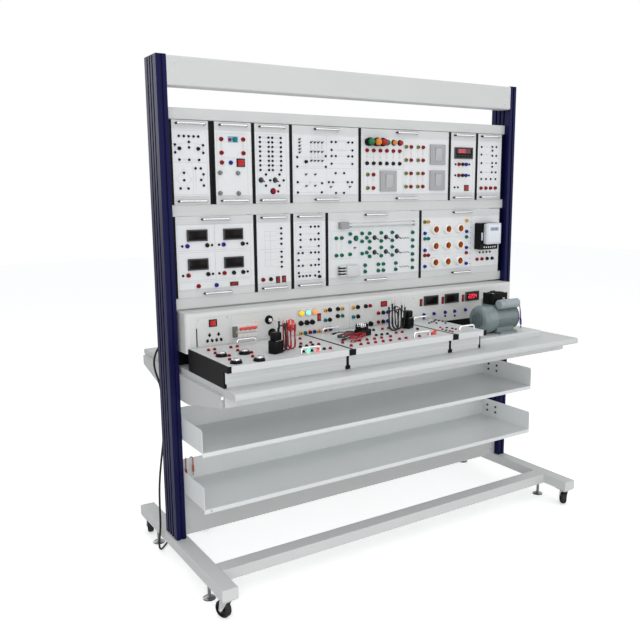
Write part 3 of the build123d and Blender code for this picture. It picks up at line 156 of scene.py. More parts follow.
lamps = (
    ("key", (-2.6, -3.4, 3.4), (0.1, 0.0, 0.9), 2.6, 34.0),
    ("low_front", (-1.4, -4.0, 0.8), (0.0, 0.0, 0.45), 2.4, 44.0),
    ("fill", (2.8, -3.6, 1.8), (0.0, 0.0, 0.7), 3.0, 28.0),
    ("overhead", (0.0, -0.6, 4.6), (0.0, 0.0, 0.9), 3.0, 36.0),
    ("rear", (-1.5, 3.8, 2.6), (0.0, 0.0, 0.9), 2.5, 22.0),
)
for lamp_name, lamp_place, lamp_aim, lamp_size, lamp_power in lamps:
    lamp_data = bpy.data.lights.new(lamp_name, "AREA")
    lamp_data.size = lamp_size
    lamp_data.energy = lamp_power
    lamp = bpy.data.objects.new(lamp_name, lamp_data)
    lamp.location = lamp_place
    lamp.rotation_mode = "QUATERNION"
    lamp.rotation_quaternion = (Vector(lamp_aim) - Vector(lamp_place)).to_track_quat("-Z", "Y")
    scene.collection.objects.link(lamp)


# Mains cord: black rubber-sheathed three-core cord, about 2.7 m long and 8 mm thick.
# It leaves a gland low on the console's back, hangs down behind the left upright and ends
# in a coil behind the left leg.
def wear_group():
    """Slow stains and fine speckle over a surface, from its own Object coordinates."""
    group = bpy.data.node_groups.new("surface_wear", "ShaderNodeTree")
    face = group.interface
    face.new_socket("Stain Size", in_out="INPUT", socket_type="NodeSocketFloat").default_value = 3.0
    face.new_socket("Speckle Size", in_out="INPUT",
                    socket_type="NodeSocketFloat").default_value = 400.0
    face.new_socket("Clean", in_out="INPUT", socket_type="NodeSocketColor")
    face.new_socket("Stained", in_out="INPUT", socket_type="NodeSocketColor")
    face.new_socket("Roughness", in_out="INPUT", socket_type="NodeSocketFloat").default_value = 0.5
    face.new_socket("Colour", in_out="OUTPUT", socket_type="NodeSocketColor")
    face.new_socket("Gloss", in_out="OUTPUT", socket_type="NodeSocketFloat")
    face.new_socket("Height", in_out="OUTPUT", socket_type="NodeSocketFloat")
    nodes, links = group.nodes, group.links
    given = nodes.new("NodeGroupInput")
    result = nodes.new("NodeGroupOutput")
    where = nodes.new("ShaderNodeTexCoord")
    stain = nodes.new("ShaderNodeTexNoise")
    stain.inputs["Detail"].default_value = 4
    speckle = nodes.new("ShaderNodeTexNoise")
    speckle.inputs["Detail"].default_value = 2
    mix = nodes.new("ShaderNodeMix")
    mix.data_type = "RGBA"
    gloss = nodes.new("ShaderNodeMapRange")
    gloss.inputs["To Min"].default_value = -0.05
    gloss.inputs["To Max"].default_value = 0.07
    total = nodes.new("ShaderNodeMath")
    total.operation = "ADD"
    links.new(where.outputs["Object"], stain.inputs["Vector"])
    links.new(where.outputs["Object"], speckle.inputs["Vector"])
    links.new(given.outputs["Stain Size"], stain.inputs["Scale"])
    links.new(given.outputs["Speckle Size"], speckle.inputs["Scale"])
    links.new(stain.outputs["Fac"], mix.inputs["Factor"])
    links.new(given.outputs["Clean"], mix.inputs["A"])
    links.new(given.outputs["Stained"], mix.inputs["B"])
    links.new(stain.outputs["Fac"], gloss.inputs["Value"])
    links.new(given.outputs["Roughness"], total.inputs[0])
    links.new(gloss.outputs["Result"], total.inputs[1])
    links.new(mix.outputs["Result"], result.inputs["Colour"])
    links.new(total.outputs[0], result.inputs["Gloss"])
    links.new(speckle.outputs["Fac"], result.inputs["Height"])
    return group


surface_wear = wear_group()


def linear(value):
    value /= 255
    return value / 12.92 if value <= 0.04045 else ((value + 0.055) / 1.055) ** 2.4


def shade(red, green, blue):
    """A colour as it is seen on a screen, 0 to 255, turned into the renderer's own values."""
    return linear(red), linear(green), linear(blue)


def finish(name, colour, rough, metal=0.0, grain=0.02, speckle=500.0, stain=0.94, coat=0.0,
           shine=0.35):
    """One of the bench's finishes: a base colour with faint stains and a fine grain."""
    made = plain_material(name, colour, rough, metal)
    tree = made.node_tree
    shader = tree.nodes["Principled BSDF"]
    shader.inputs["Coat Weight"].default_value = coat
    shader.inputs["Specular IOR Level"].default_value = shine
    wear = tree.nodes.new("ShaderNodeGroup")
    wear.node_tree = surface_wear
    wear.inputs["Stain Size"].default_value = 3.0
    wear.inputs["Speckle Size"].default_value = speckle
    wear.inputs["Clean"].default_value = (*colour, 1)
    wear.inputs["Stained"].default_value = (*[part * stain for part in colour], 1)
    wear.inputs["Roughness"].default_value = rough
    bump = tree.nodes.new("ShaderNodeBump")
    bump.inputs["Strength"].default_value = grain
    bump.inputs["Distance"].default_value = 0.0004
    tree.links.new(wear.outputs["Colour"], shader.inputs["Base Color"])
    tree.links.new(wear.outputs["Gloss"], shader.inputs["Roughness"])
    tree.links.new(wear.outputs["Height"], bump.inputs["Height"])
    tree.links.new(bump.outputs["Normal"], shader.inputs["Normal"])
    return made


def turned(points, segments=20):
    """A closed mesh turned about Z from (radius, height) points that start and end on the axis."""
    build = bmesh.new()
    first = [build.verts.new((radius, 0, height)) for radius, height in points]
    edges = [build.edges.new(pair) for pair in zip(first[:-1], first[1:])]
    bmesh.ops.spin(build, geom=first + edges, cent=(0, 0, 0), axis=(0, 0, 1),
                   angle=math.tau, steps=segments, use_merge=False)
    bmesh.ops.remove_doubles(build, verts=build.verts, dist=0.000005)
    bmesh.ops.recalc_face_normals(build, faces=build.faces)
    for face in build.faces:
        face.smooth = True
    for edge in build.edges:
        edge.smooth = len(edge.link_faces) == 2 and edge.calc_face_angle(0) < math.radians(35)
    mesh = bpy.data.meshes.new("turned")
    build.to_mesh(mesh)
    build.free()
    return mesh


def place_piece(name, mesh, matrix, material, body="bench"):
    """Puts a mesh in its place, gives it its finish and lets it ride on a body."""
    mesh.transform(matrix)
    mesh.name = name
    if material is not None:
        mesh.materials.clear()
        mesh.materials.append(material)
    piece = bpy.data.objects.new(name, mesh)
    scene.collection.objects.link(piece)
    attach(piece, body)
    return piece


def smooth_line(name, points, diameter, material):
    """A cord: one NURBS spline through its control points, in metres, as thick as the cord."""
    line = bpy.data.curves.new(name, "CURVE")
    line.dimensions = "3D"
    line.bevel_depth = diameter / 2
    line.bevel_resolution = 3
    line.resolution_u = 5
    line.use_fill_caps = True
    line.materials.append(material)
    spline = line.splines.new("NURBS")
    spline.points.add(len(points) - 1)
    for control, point in zip(spline.points, points):
        control.co = (*point, 1)
    spline.order_u = 3
    spline.use_endpoint_u = True
    piece = bpy.data.objects.new(name, line)
    scene.collection.objects.link(piece)
    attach(piece, "bench")
    return piece


rubber = finish("black_rubber", shade(27, 27, 28), 0.55, grain=0.1)
cord_d = 0.008
coil_z = cord_d / 2
mains_points = [
    (-0.785, 0.128, 0.872), (-0.785, 0.170, 0.872), (-0.812, 0.202, 0.860), (-0.848, 0.204, 0.822),
    (-0.864, 0.194, 0.768), (-0.844, 0.182, 0.696), (-0.837, 0.176, 0.606), (-0.842, 0.168, 0.504),
    (-0.862, 0.158, 0.402), (-0.879, 0.146, 0.310), (-0.884, 0.139, 0.220), (-0.884, 0.139, 0.130),
    (-0.888, 0.160, 0.052), (-0.866, 0.205, coil_z), (-0.836, 0.236, coil_z),
    (-0.798, 0.282, coil_z),
    (-0.771, 0.324, coil_z), (-0.752, 0.366, coil_z),
]
coil_radii = [0.0526 - i * 0.0043 for i in range(6)]
coil_spread = 1 / 0.981
here_x, here_y, heading = -0.752, 0.410, 1
for number, radius in enumerate(coil_radii + coil_radii[-2::-1]):
    centre_x = here_x + heading * radius
    for step in range(8):
        angle = (step + 0.5) * math.pi / 8
        if number < 5:
            height = coil_z
        elif number == 5:
            height = coil_z + 0.0086 * (step + 0.5) / 8
        else:
            height = coil_z + 0.0086
        mains_points.append((centre_x - heading * radius * coil_spread * math.cos(angle),
                             here_y + heading * radius * coil_spread * math.sin(angle), height))
    here_x += heading * 2 * radius
    heading = -heading
mains_points += [(here_x, here_y - 0.012, coil_z + 0.0086),
                 (here_x, here_y - 0.034, coil_z + 0.0086)]
mains_cord = smooth_line("mains_cord_line", mains_points, cord_d, rubber)
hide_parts("mains_cord", "mains_cord_coil")
pin_metal = finish("pin_metal", (0.52, 0.5, 0.46), 0.3, 1.0)


def smooth_copy(node, material, angle=35.0):
    """Stands for a node of the frame with its corners merged and its round faces smooth."""
    source = frame["nodes"][node]
    body = source["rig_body"]
    mesh = source.data.copy()
    build = bmesh.new()
    build.from_mesh(mesh)
    bmesh.ops.remove_doubles(build, verts=build.verts, dist=0.00002)
    bmesh.ops.dissolve_limit(build, angle_limit=math.radians(0.5), verts=build.verts,
                             edges=build.edges)
    for face in build.faces:
        face.smooth = True
    for edge in build.edges:
        edge.smooth = len(edge.link_faces) == 2 and edge.calc_face_angle(0) < math.radians(angle)
    build.to_mesh(mesh)
    build.free()
    mesh.materials.clear()
    mesh.materials.append(material)
    piece = bpy.data.objects.new(node + "_finished", mesh)
    scene.collection.objects.link(piece)
    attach(piece, body)
    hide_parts(node)
    return piece


mains_plug = smooth_copy("mains_plug", rubber)
mains_plug.data.materials.append(pin_metal)
plug_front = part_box("mains_plug")[0].y + 0.0178
for face in mains_plug.data.polygons:
    if face.center.y < plug_front:
        face.material_index = 1


# Patch leads: thin silicone leads of 4 mm with a stacking plug at each end, folded and left
# on the component boxes. Three more hang over the rear wall of the lower tray.
def plug_mesh(material):
    """Relief, grip, collar and split pin in line, from the lead's end along +Z."""
    mesh = turned(((0, 0), (0.0024, 0), (0.0026, 0.002), (0.0037, 0.007), (0.0037, 0.011),
                   (0.0033, 0.012), (0.0033, 0.014), (0.0037, 0.015), (0.0037, 0.024),
                   (0.0043, 0.0245), (0.0043, 0.0285), (0.0038, 0.029), (0.0016, 0.029),
                   (0.0016, 0.031), (0.002, 0.034), (0.002, 0.041), (0.0015, 0.0445),
                   (0, 0.045)), 14)
    mesh.materials.append(material)
    mesh.materials.append(pin_metal)
    for face in mesh.polygons:
        if face.center.z > 0.0291:
            face.material_index = 1
    return mesh


def lead(name, place, points, ends, diameter, material, node):
    """One lead along its control points, with a plug on each end that is given a direction."""
    points = [place @ Vector(point) for point in points]
    line = smooth_line(name, points, diameter, material)
    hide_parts(node)
    plugs = []
    for number, (spot, aim) in enumerate(ends):
        turn = Vector(aim).to_track_quat("Z", "X").to_matrix().to_4x4()
        matrix = place @ Matrix.Translation(spot) @ turn
        plug = place_piece(f"{name}_plug_{number + 1}", plug_mesh(material), matrix, None)
        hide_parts(node)
        plugs.append(plug)
    return line, plugs


lead_r = 0.002
lead_pitch = 0.0046
lead_flare = 0.006
arc_spread = 1 / 0.966


def folded_points(loops, tall, wide):
    """Control points of a lead in loops side by side along X, standing on Z 0, and its ends."""
    half = wide / 2
    low = lead_r + half
    high = tall - low
    fall = (high - low) * 0.28
    start = (-lead_pitch, -half - lead_flare, high)
    points = [start, (start[0], start[1], high - fall), (0, -half, low + fall)]
    for loop in range(loops):
        x = loop * lead_pitch
        for step in range(6):
            angle = (step + 0.5) * math.pi / 6
            points.append((x, -half * arc_spread * math.cos(angle),
                           low - half * arc_spread * math.sin(angle)))
        if loop < loops - 1:
            points.append((x, half, (low + high) / 2))
            for step in range(6):
                angle = (step + 0.5) * math.pi / 6
                points.append((x, half * arc_spread * math.cos(angle),
                               high + half * arc_spread * math.sin(angle)))
            points += [(x, -half, high - fall), (x + lead_pitch, -half, low + fall)]
    end = (x + lead_pitch, half + lead_flare, high)
    points += [(x, half, low + fall), (end[0], end[1], high - fall), end]
    return points, start, end


def folded_lead(name, place, loops, tall, wide, material):
    points, start, end = folded_points(loops, tall, wide)
    line, plugs = lead(name, place, points, ((start, (0, 0, 1)), (end, (0, 0, 1))), 2 * lead_r,
                       material, "patch_leads")


lead_black = finish("lead_black", shade(26, 27, 31), 0.42, grain=0.05)
lead_red = finish("lead_red", shade(158, 28, 38), 0.42, grain=0.05)
lead_green = finish("lead_green", shade(44, 120, 74), 0.42, grain=0.05)
lead_orange = finish("lead_orange", shade(196, 92, 40), 0.42, grain=0.05)
box_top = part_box("component_boxes")[1].z
standing = box_top + 0.0003
lying = box_top + 0.0043 + 0.0003 + lead_pitch
left_stack = (Matrix.Translation((-0.520, -0.255, standing))
              @ Matrix.Rotation(math.radians(20), 4, "Z"))
right_stack = (Matrix.Translation((0.040, -0.165, standing))
               @ Matrix.Rotation(math.radians(25), 4, "Z"))
lying_stack = (Matrix.Translation((-0.220, -0.215, lying))
               @ Matrix.Rotation(math.radians(24), 4, "Z")
               @ Matrix.Rotation(math.radians(-90), 4, "Y"))
for name, stack, shift, loops, tall, wide, length, material in (
        ("left_lead_1", left_stack, (-0.036, 0, 0), 3, 0.094, 0.034, 0.605, lead_black),
        ("left_lead_2", left_stack, (-0.008, 0, 0), 2, 0.084, 0.034, 0.346, lead_red),
        ("left_lead_3", left_stack, (0.015, 0, 0), 2, 0.082, 0.034, 0.338, lead_red),
        ("right_lead_1", right_stack, (-0.038, 0, 0), 3, 0.086, 0.040, 0.569, lead_black),
        ("right_lead_2", right_stack, (-0.010, 0, 0), 3, 0.096, 0.040, 0.628, lead_black),
        ("right_lead_3", right_stack, (0.018, 0, 0), 2, 0.084, 0.040, 0.351, lead_black),
        ("middle_lead_1", lying_stack, (0, -0.026, -0.048), 3, 0.096, 0.030, 0.609, lead_red),
        ("middle_lead_2", lying_stack, (0, 0.026, -0.048), 3, 0.096, 0.030, 0.609, lead_black)):
    folded_lead(name, stack @ Matrix.Translation(shift), loops, tall, wide, material)

drape_r = 0.008
tray_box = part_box("tool_trays")
wall_top = tray_box[0].z + 0.016 + 0.085
wall_y = tray_box[1].y - 0.001
for number, (x, inside, outside, turn, length, material) in enumerate((
        (-0.790, 0.026, 0.070, 18, 0.121, lead_green), (-0.768, 0.034, 0.090, -24, 0.149, lead_red),
        (-0.745, 0.022, 0.060, 30, 0.107, lead_orange))):
    crown = 0.0003 + lead_r - drape_r
    near_end = (0, -drape_r, crown - inside)
    far_end = (0, drape_r, crown - outside)
    points = [near_end, (0, -drape_r, crown - inside / 2)]
    for step in range(6):
        angle = (step + 0.5) * math.pi / 6
        points.append((0, -drape_r * arc_spread * math.cos(angle),
                       crown + drape_r * arc_spread * math.sin(angle)))
    points += [(0, drape_r, crown - outside / 2), far_end]
    place = Matrix.Translation((x, wall_y, wall_top)) @ Matrix.Rotation(math.radians(turn), 4, "Z")
    line, plugs = lead(f"hung_lead_{number + 1}", place, points,
                       ((near_end, (0, 0, -1)), (far_end, (0, 0, -1))), 2 * lead_r, material,
                       "patch_leads")


# Motor leads: three 3 mm leads out of the terminal box, over the shaft's end and down to
# plugs that stand on the motor's tray.
lead_blue = finish("lead_blue", shade(38, 70, 170), 0.42, grain=0.05)
lead_yellow = finish("lead_yellow", shade(224, 200, 40), 0.42, grain=0.05)
exit_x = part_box("motor_terminal_box")[1].x
exit_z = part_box("motor_terminal_box")[0].z + 0.014
motor_middle = -0.219
stand_top = 0.815
plug_z = stand_top + 0.0003 + 0.045
for number, (exit_shift, reach, end_shift, length, material) in enumerate((
        (0.005, 0.090, -0.003, 0.155, lead_blue), (0.019, 0.106, 0.015, 0.170, lead_red),
        (0.033, 0.094, 0.035, 0.158, lead_yellow))):
    exit_y = motor_middle + exit_shift
    end_x = exit_x + reach
    end_y = motor_middle + end_shift
    route = [(exit_x, exit_y, exit_z), (exit_x + 0.026, exit_y, exit_z),
             (end_x - 0.012, (exit_y + end_y) / 2, exit_z - 0.008),
             (end_x - 0.002, end_y, plug_z + 0.030), (end_x, end_y, plug_z)]
    line, plugs = lead(f"motor_lead_{number + 1}", Matrix.Identity(4), route,
                       ((route[-1], Vector(route[-1]) - Vector(route[-2])),), 0.003, material,
                       "motor_leads")


# Uprights: navy powder-coated aluminium extrusions, bolted to the base legs.
# The coat has a fine texture and faint stains.
def dress(node, material):
    """Give a node of the frame its finish."""
    piece = frame["nodes"][node]
    piece.data.materials.clear()
    piece.data.materials.append(material)
    return piece


navy_coat = finish("navy_coat", shade(10, 12, 62), 0.38, grain=0.06, shine=0.15)
dress("uprights", navy_coat)


# Base: two legs and a crossbeam of rectangular steel tube, bolted together.
# A grey powder coat covers them.
frame_coat = finish("frame_coat", shade(210, 212, 211), 0.45, grain=0.08)
dress("base_frame", frame_coat)


# Castors: black rubber wheels in chromed forks that swivel under steel plates.
# Each plate is bolted to the end of a leg.
chrome = finish("chrome", (0.66, 0.66, 0.67), 0.12, 1.0)
foot_metal = finish("foot_metal", (0.30, 0.30, 0.31), 0.2, 1.0)
steel = finish("steel", (0.6, 0.6, 0.61), 0.35, 1.0)
smooth_copy("castor_plates", steel)
for end in ("front", "rear"):
    for side in ("left", "right"):
        smooth_copy(f"castor_fork_{end}_{side}", chrome)
        smooth_copy(f"castor_wheel_{end}_{side}", rubber)


# Levelling feet: chromed dishes on threaded stems, each with a black rubber sole.
# They screw up and down in the legs.
for end in ("front", "rear"):
    for side in ("left", "right"):
        foot = f"levelling_foot_{end}_{side}"
        dish = smooth_copy(foot, foot_metal)
        dish.data.materials.append(rubber)
        sole_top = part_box(foot)[0].z + 0.0031
        for face in dish.data.polygons:
            if face.center.z < sole_top:
                face.material_index = 1


# Header and panel rails: pale grey powder-coated extrusions between the uprights.
# The header's front is left bare.
black_plastic = finish("black_plastic", shade(13, 13, 14), 0.5, shine=0.12)
pale_extrusion = finish("pale_extrusion", shade(204, 206, 205), 0.42)
dress("header_banner", pale_extrusion)
dress("module_rails", pale_extrusion)


# Panel strips and handles: anodised strips hold each board above and below, and a chromed
# bar handle stands on each strip.
strip_coat = finish("strip_coat", shade(206, 208, 208), 0.4)
dress("module_strips", strip_coat)
bars = smooth_copy("module_handles", finish("bar_metal", (0.72, 0.73, 0.74), 0.18, 1.0),
                   60)
# The posts and the rear of each bar are coloured near black: painted shade and dark reflection on
# the chrome.
bars.data.materials.append(finish("bar_post_painted_shade", (0.05, 0.05, 0.055), 0.3, 1.0))
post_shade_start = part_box("module_handles")[0].y + 0.0050
for face in bars.data.polygons:
    if face.center.y > post_shade_start:
        face.material_index = 1


# Panel boards: white printed laminate between the strips, with black plates at both sides.
# Thin grey lines frame each circuit and join its terminals.
board_white = finish("board_white", shade(222, 224, 225), 0.42)
print_grey = finish("print_grey", shade(172, 176, 181), 0.5)
dress("module_boards", board_white)
dress("module_side_plates", black_plastic)

unit = 0.163
panel_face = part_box("module_boards")[0].y
lower_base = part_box("module_side_plates")[0].z
row_step = 0.339
panels = {}
for row, (prefix, widths) in enumerate((("low", (2, 1, 1, 3, 3)), ("up", (1, 1, 1, 2, 3, 1, 1)))):
    left = -5 * unit
    for number, width in enumerate(widths):
        panels[f"{prefix}{number + 1}"] = (left, lower_base + row * row_step)
        left += width * unit


def on_panel(panel, points):
    """Points in millimetres from a panel's lower left corner, as places on its face."""
    left, base = panels[panel]
    return [(left + x / 1000, panel_face, base + z / 1000) for x, z in points]


def printed(name, strokes, thickness, face_y, material):
    """Flat printed strokes just in front of a face: each stroke is (x0, z0, x1, z1) in metres."""
    vertices = []
    faces = []
    for x0, z0, x1, z1 in strokes:
        run = Vector((x1 - x0, 0, z1 - z0))
        if run.length < 1e-6:
            continue
        side = Vector((-run.z, 0, run.x)).normalized() * thickness / 2
        start = Vector((x0, face_y, z0))
        end = Vector((x1, face_y, z1))
        first = len(vertices)
        vertices += [start - side, end - side, end + side, start + side]
        faces.append((first, first + 1, first + 2, first + 3))
    mesh = bpy.data.meshes.new(name)
    mesh.from_pydata(vertices, [], faces)
    return place_piece(name, mesh, Matrix.Identity(4), material)


def outline_of(x0, z0, x1, z1):
    return [(x0, z0, x1, z0), (x1, z0, x1, z1), (x1, z1, x0, z1), (x0, z1, x0, z0)]


def symbol(kind, x, z, across):
    """The strokes of one circuit symbol, 12 mm long, level or upright."""
    half, tall = 6.0, 2.4
    if kind == "resistor":
        strokes = outline_of(-half, -tall, half, tall)
    elif kind == "capacitor":
        strokes = [(-1.2, -4, -1.2, 4), (1.2, -4, 1.2, 4), (-half, 0, -1.2, 0), (1.2, 0, half, 0)]
    elif kind == "diode":
        strokes = [(-3, -3.4, -3, 3.4), (-3, 3.4, 3, 0), (3, 0, -3, -3.4), (3, -3.4, 3, 3.4),
                   (-half, 0, -3, 0), (3, 0, half, 0)]
    elif kind == "lamp":
        rim = [(4.5 * math.cos(i * math.tau / 10), 4.5 * math.sin(i * math.tau / 10))
               for i in range(11)]
        strokes = [(*a, *b) for a, b in zip(rim[:-1], rim[1:])]
        strokes += [(-3.2, -3.2, 3.2, 3.2), (-3.2, 3.2, 3.2, -3.2), (-half, 0, -4.5, 0),
                    (4.5, 0, half, 0)]
    elif kind == "coil":
        humps = [(-half + i * half / 6, 2.6 * abs(math.sin(i * math.pi / 4))) for i in range(13)]
        strokes = [(*a, *b) for a, b in zip(humps[:-1], humps[1:])]
    else:
        strokes = [(-half, 0, half, 0)]
    if across:
        return [(x + a, z + b, x + c, z + d) for a, b, c, d in strokes]
    return [(x + b, z + a, x + d, z + c) for a, b, c, d in strokes]


def branch(x0, z0, x1, z1, kind=None):
    """A printed conductor between two places of a panel with one symbol in its middle."""
    if kind is None:
        return [(x0, z0, x1, z1)]
    mid_x, mid_z = (x0 + x1) / 2, (z0 + z1) / 2
    if abs(x1 - x0) >= abs(z1 - z0):
        first, last = sorted((x0, x1))
        lead = [(first, z0, mid_x - 6, mid_z), (mid_x + 6, mid_z, last, z1)]
        return lead + symbol(kind, mid_x, mid_z, True)
    first, last = sorted((z0, z1))
    lead = [(x0, first, mid_x, mid_z - 6), (mid_x, mid_z + 6, x1, last)]
    return lead + symbol(kind, mid_x, mid_z, False)


circuits = {panel: [] for panel in panels}
circuits["up1"] += outline_of(6, 36, 138, 261) + [(6, 150, 138, 150), (82, 40, 82, 142)]
circuits["up1"] += branch(17, 184, 17, 211, "resistor") + branch(124, 184, 124, 211, "resistor")
circuits["up1"] += branch(33, 241, 107, 241) + branch(70, 241, 70, 202)
circuits["up1"] += branch(32, 159, 69, 159, "capacitor") + branch(69, 159, 107, 159, "resistor")
circuits["up1"] += branch(17, 211, 70, 221, None) + branch(124, 211, 70, 221, None)
circuits["up1"] += [(47, 128, 18, 92), (18, 92, 47, 56), (47, 56, 76, 92), (76, 92, 47, 128)]
circuits["up1"] += branch(92, 129, 92, 52, "resistor") + branch(122, 108, 122, 68, None)
circuits["up2"] += outline_of(15, 32, 138, 256) + [(24, 168, 130, 168)]
circuits["up2"] += branch(33, 235, 33, 186, "resistor") + branch(122, 236, 122, 186, "resistor")
circuits["up3"] += outline_of(16, 34, 142, 258)
for row in range(8):
    height = 246 - row * 17.2
    circuits["up3"] += branch(29, height, 66, height, "resistor")
    circuits["up3"] += branch(82, height, 119, height, "capacitor" if row > 4 else "resistor")
circuits["up4"] += outline_of(14, 28, 312, 262) + [(14, 134, 312, 134), (165, 28, 165, 262)]
for x in (92, 109, 125, 143):
    circuits["up4"] += branch(x, 233, x, 199, "resistor") + branch(x, 198, x, 164, "resistor")
circuits["up4"] += branch(28, 176, 160, 176) + branch(28, 140, 160, 140)
for z in (238, 207, 183, 153):
    circuits["up4"] += branch(188, z, 289, z, "coil")
circuits["up4"] += outline_of(218, 205, 258, 245) + branch(29, 80, 142, 80, "lamp")
circuits["up4"] += branch(29, 40, 142, 40, "diode") + branch(174, 80, 287, 80)
circuits["up4"] += branch(208, 37, 248, 37, "resistor") + branch(207, 116, 248, 116, "capacitor")
circuits["up5"] += (outline_of(18, 28, 228, 262) + [(18, 134, 228, 134)]
                    + outline_of(228, 28, 478, 262))
for lamp_number in range(6):
    x = 36 + lamp_number * 34.2
    circuits["up5"] += branch(x, 208, x, 157, "lamp")
for x in (54, 255, 321):
    for z in (201, 89):
        if x > 60 or z < 100:
            circuits["up5"] += branch(x - 14, z + 28, x - 14, z - 28, None)
            circuits["up5"] += branch(x + 14, z + 28, x + 14, z - 28, "lamp")
circuits["up6"] += outline_of(14, 34, 140, 262)
circuits["up7"] += outline_of(18, 34, 142, 262)
for z in (240, 204, 166, 125):
    circuits["up7"] += branch(30, z, 98, z, "diode")
circuits["low1"] += outline_of(12, 62, 158, 165) + outline_of(158, 62, 305, 165)
circuits["low1"] += outline_of(12, 172, 158, 268) + outline_of(158, 172, 305, 268)
circuits["low1"] += outline_of(12, 26, 305, 56)
circuits["low2"] += [(20, 163, 130, 163), (20, 30, 142, 30)]
for z in (242, 222, 202, 182, 151, 131, 111, 92):
    circuits["low2"] += [(92, z, 114, z)]
for x in (42, 66):
    circuits["low2"] += [(x, 96, x, 232)]
for z in (232, 214, 196, 151, 122, 96):
    circuits["low2"] += [(42, z, 92, z)]
circuits["low3"] += outline_of(18, 30, 136, 258) + [(18, 152, 136, 152)]
for z in (244, 193, 141, 90):
    circuits["low3"] += branch(38, z, 86, z, "coil") + branch(38, z - 28, 123, z - 28, "resistor")
circuits["low4"] += outline_of(16, 26, 474, 262) + outline_of(24, 108, 160, 222)
for z in (189, 127):
    circuits["low4"] += branch(198, z, 377, z, None)
for x in (213, 274, 333):
    circuits["low4"] += branch(x, 207, x, 173, None) + branch(x, 145, x, 110, None)
for z in (180, 118, 56):
    circuits["low4"] += [(377 + 7 * i, z + 2 * (-1) ** i, 384 + 7 * i, z - 2 * (-1) ** i)
                         for i in range(8)]
circuits["low4"] += branch(45, 193, 45, 122, "resistor") + branch(72, 194, 72, 121, "resistor")
circuits["low4"] += branch(190, 74, 190, 48, "capacitor") + branch(353, 74, 353, 48, "capacitor")
circuits["low5"] += outline_of(14, 26, 306, 262) + outline_of(314, 30, 462, 108)
for z in (212, 138, 64):
    circuits["low5"] += branch(50, z, 268, z, None)
    circuits["low5"] += [(20, z - 38, 290, z - 38)] if z > 100 else []
for number in range(9):
    circuits["low5"] += [(286, 240 - number * 24, 302, 240 - number * 24)]
for panel, strokes in circuits.items():
    left, base = panels[panel]
    strokes = [(left + a / 1000, base + b / 1000, left + c / 1000, base + d / 1000)
               for a, b, c, d in strokes]
    printed("printed_circuit_" + panel, strokes, 0.0007, panel_face - 0.00025, print_grey)


# Terminals and jacks: turned sockets of coloured plastic for 4 mm and 2 mm plugs,
# pushed through holes in the boards and held by nuts behind.
def repeat_tree():
    """One turned or moulded piece at each vertex of a mesh, turned the same way."""
    tree = bpy.data.node_groups.new("repeat_piece", "GeometryNodeTree")
    face = tree.interface
    face.new_socket("Places", in_out="INPUT", socket_type="NodeSocketGeometry")
    face.new_socket("Piece", in_out="INPUT", socket_type="NodeSocketObject")
    face.new_socket("Turn", in_out="INPUT", socket_type="NodeSocketVector")
    face.new_socket("Size", in_out="INPUT", socket_type="NodeSocketFloat").default_value = 1.0
    face.new_socket("Finish", in_out="INPUT", socket_type="NodeSocketMaterial")
    face.new_socket("Pieces", in_out="OUTPUT", socket_type="NodeSocketGeometry")
    nodes, links = tree.nodes, tree.links
    given = nodes.new("NodeGroupInput")
    result = nodes.new("NodeGroupOutput")
    info = nodes.new("GeometryNodeObjectInfo")
    stamp = nodes.new("GeometryNodeInstanceOnPoints")
    solid = nodes.new("GeometryNodeRealizeInstances")
    coat = nodes.new("GeometryNodeSetMaterial")
    links.new(given.outputs["Places"], stamp.inputs["Points"])
    links.new(given.outputs["Piece"], info.inputs["Object"])
    links.new(info.outputs["Geometry"], stamp.inputs["Instance"])
    links.new(given.outputs["Turn"], stamp.inputs["Rotation"])
    links.new(given.outputs["Size"], stamp.inputs["Scale"])
    links.new(stamp.outputs["Instances"], solid.inputs["Geometry"])
    links.new(solid.outputs["Geometry"], coat.inputs["Geometry"])
    links.new(given.outputs["Finish"], coat.inputs["Material"])
    links.new(coat.outputs["Geometry"], result.inputs["Pieces"])
    return tree


repeat_piece = repeat_tree()
facing_front = (math.pi / 2, 0, 0)
facing_up = (0, 0, 0)


def repeat(name, piece_mesh, places, turn, material, body="bench", size=1.0):
    """Sets copies of a piece at the places given and makes them one plain mesh."""
    if not places:
        return None
    original = bpy.data.objects.new("original", piece_mesh)
    scene.collection.objects.link(original)
    spots = bpy.data.meshes.new("spots")
    spots.from_pydata(places, [], [])
    host = bpy.data.objects.new("host", spots)
    scene.collection.objects.link(host)
    modifier = host.modifiers.new("repeat", "NODES")
    modifier.node_group = repeat_piece
    given = {item.name: item.identifier for item in repeat_piece.interface.items_tree
             if item.in_out == "INPUT"}
    modifier[given["Piece"]] = original
    modifier[given["Turn"]] = turn
    modifier[given["Size"]] = size
    modifier[given["Finish"]] = material
    graph = bpy.context.evaluated_depsgraph_get()
    mesh = bpy.data.meshes.new_from_object(host.evaluated_get(graph))
    bpy.data.objects.remove(host)
    bpy.data.objects.remove(original)
    return place_piece(name, mesh, Matrix.Identity(4), None, body)


def moulded(name, colour, rough=0.38):
    return finish(name, shade(*colour), rough, grain=0.01, shine=0.15)


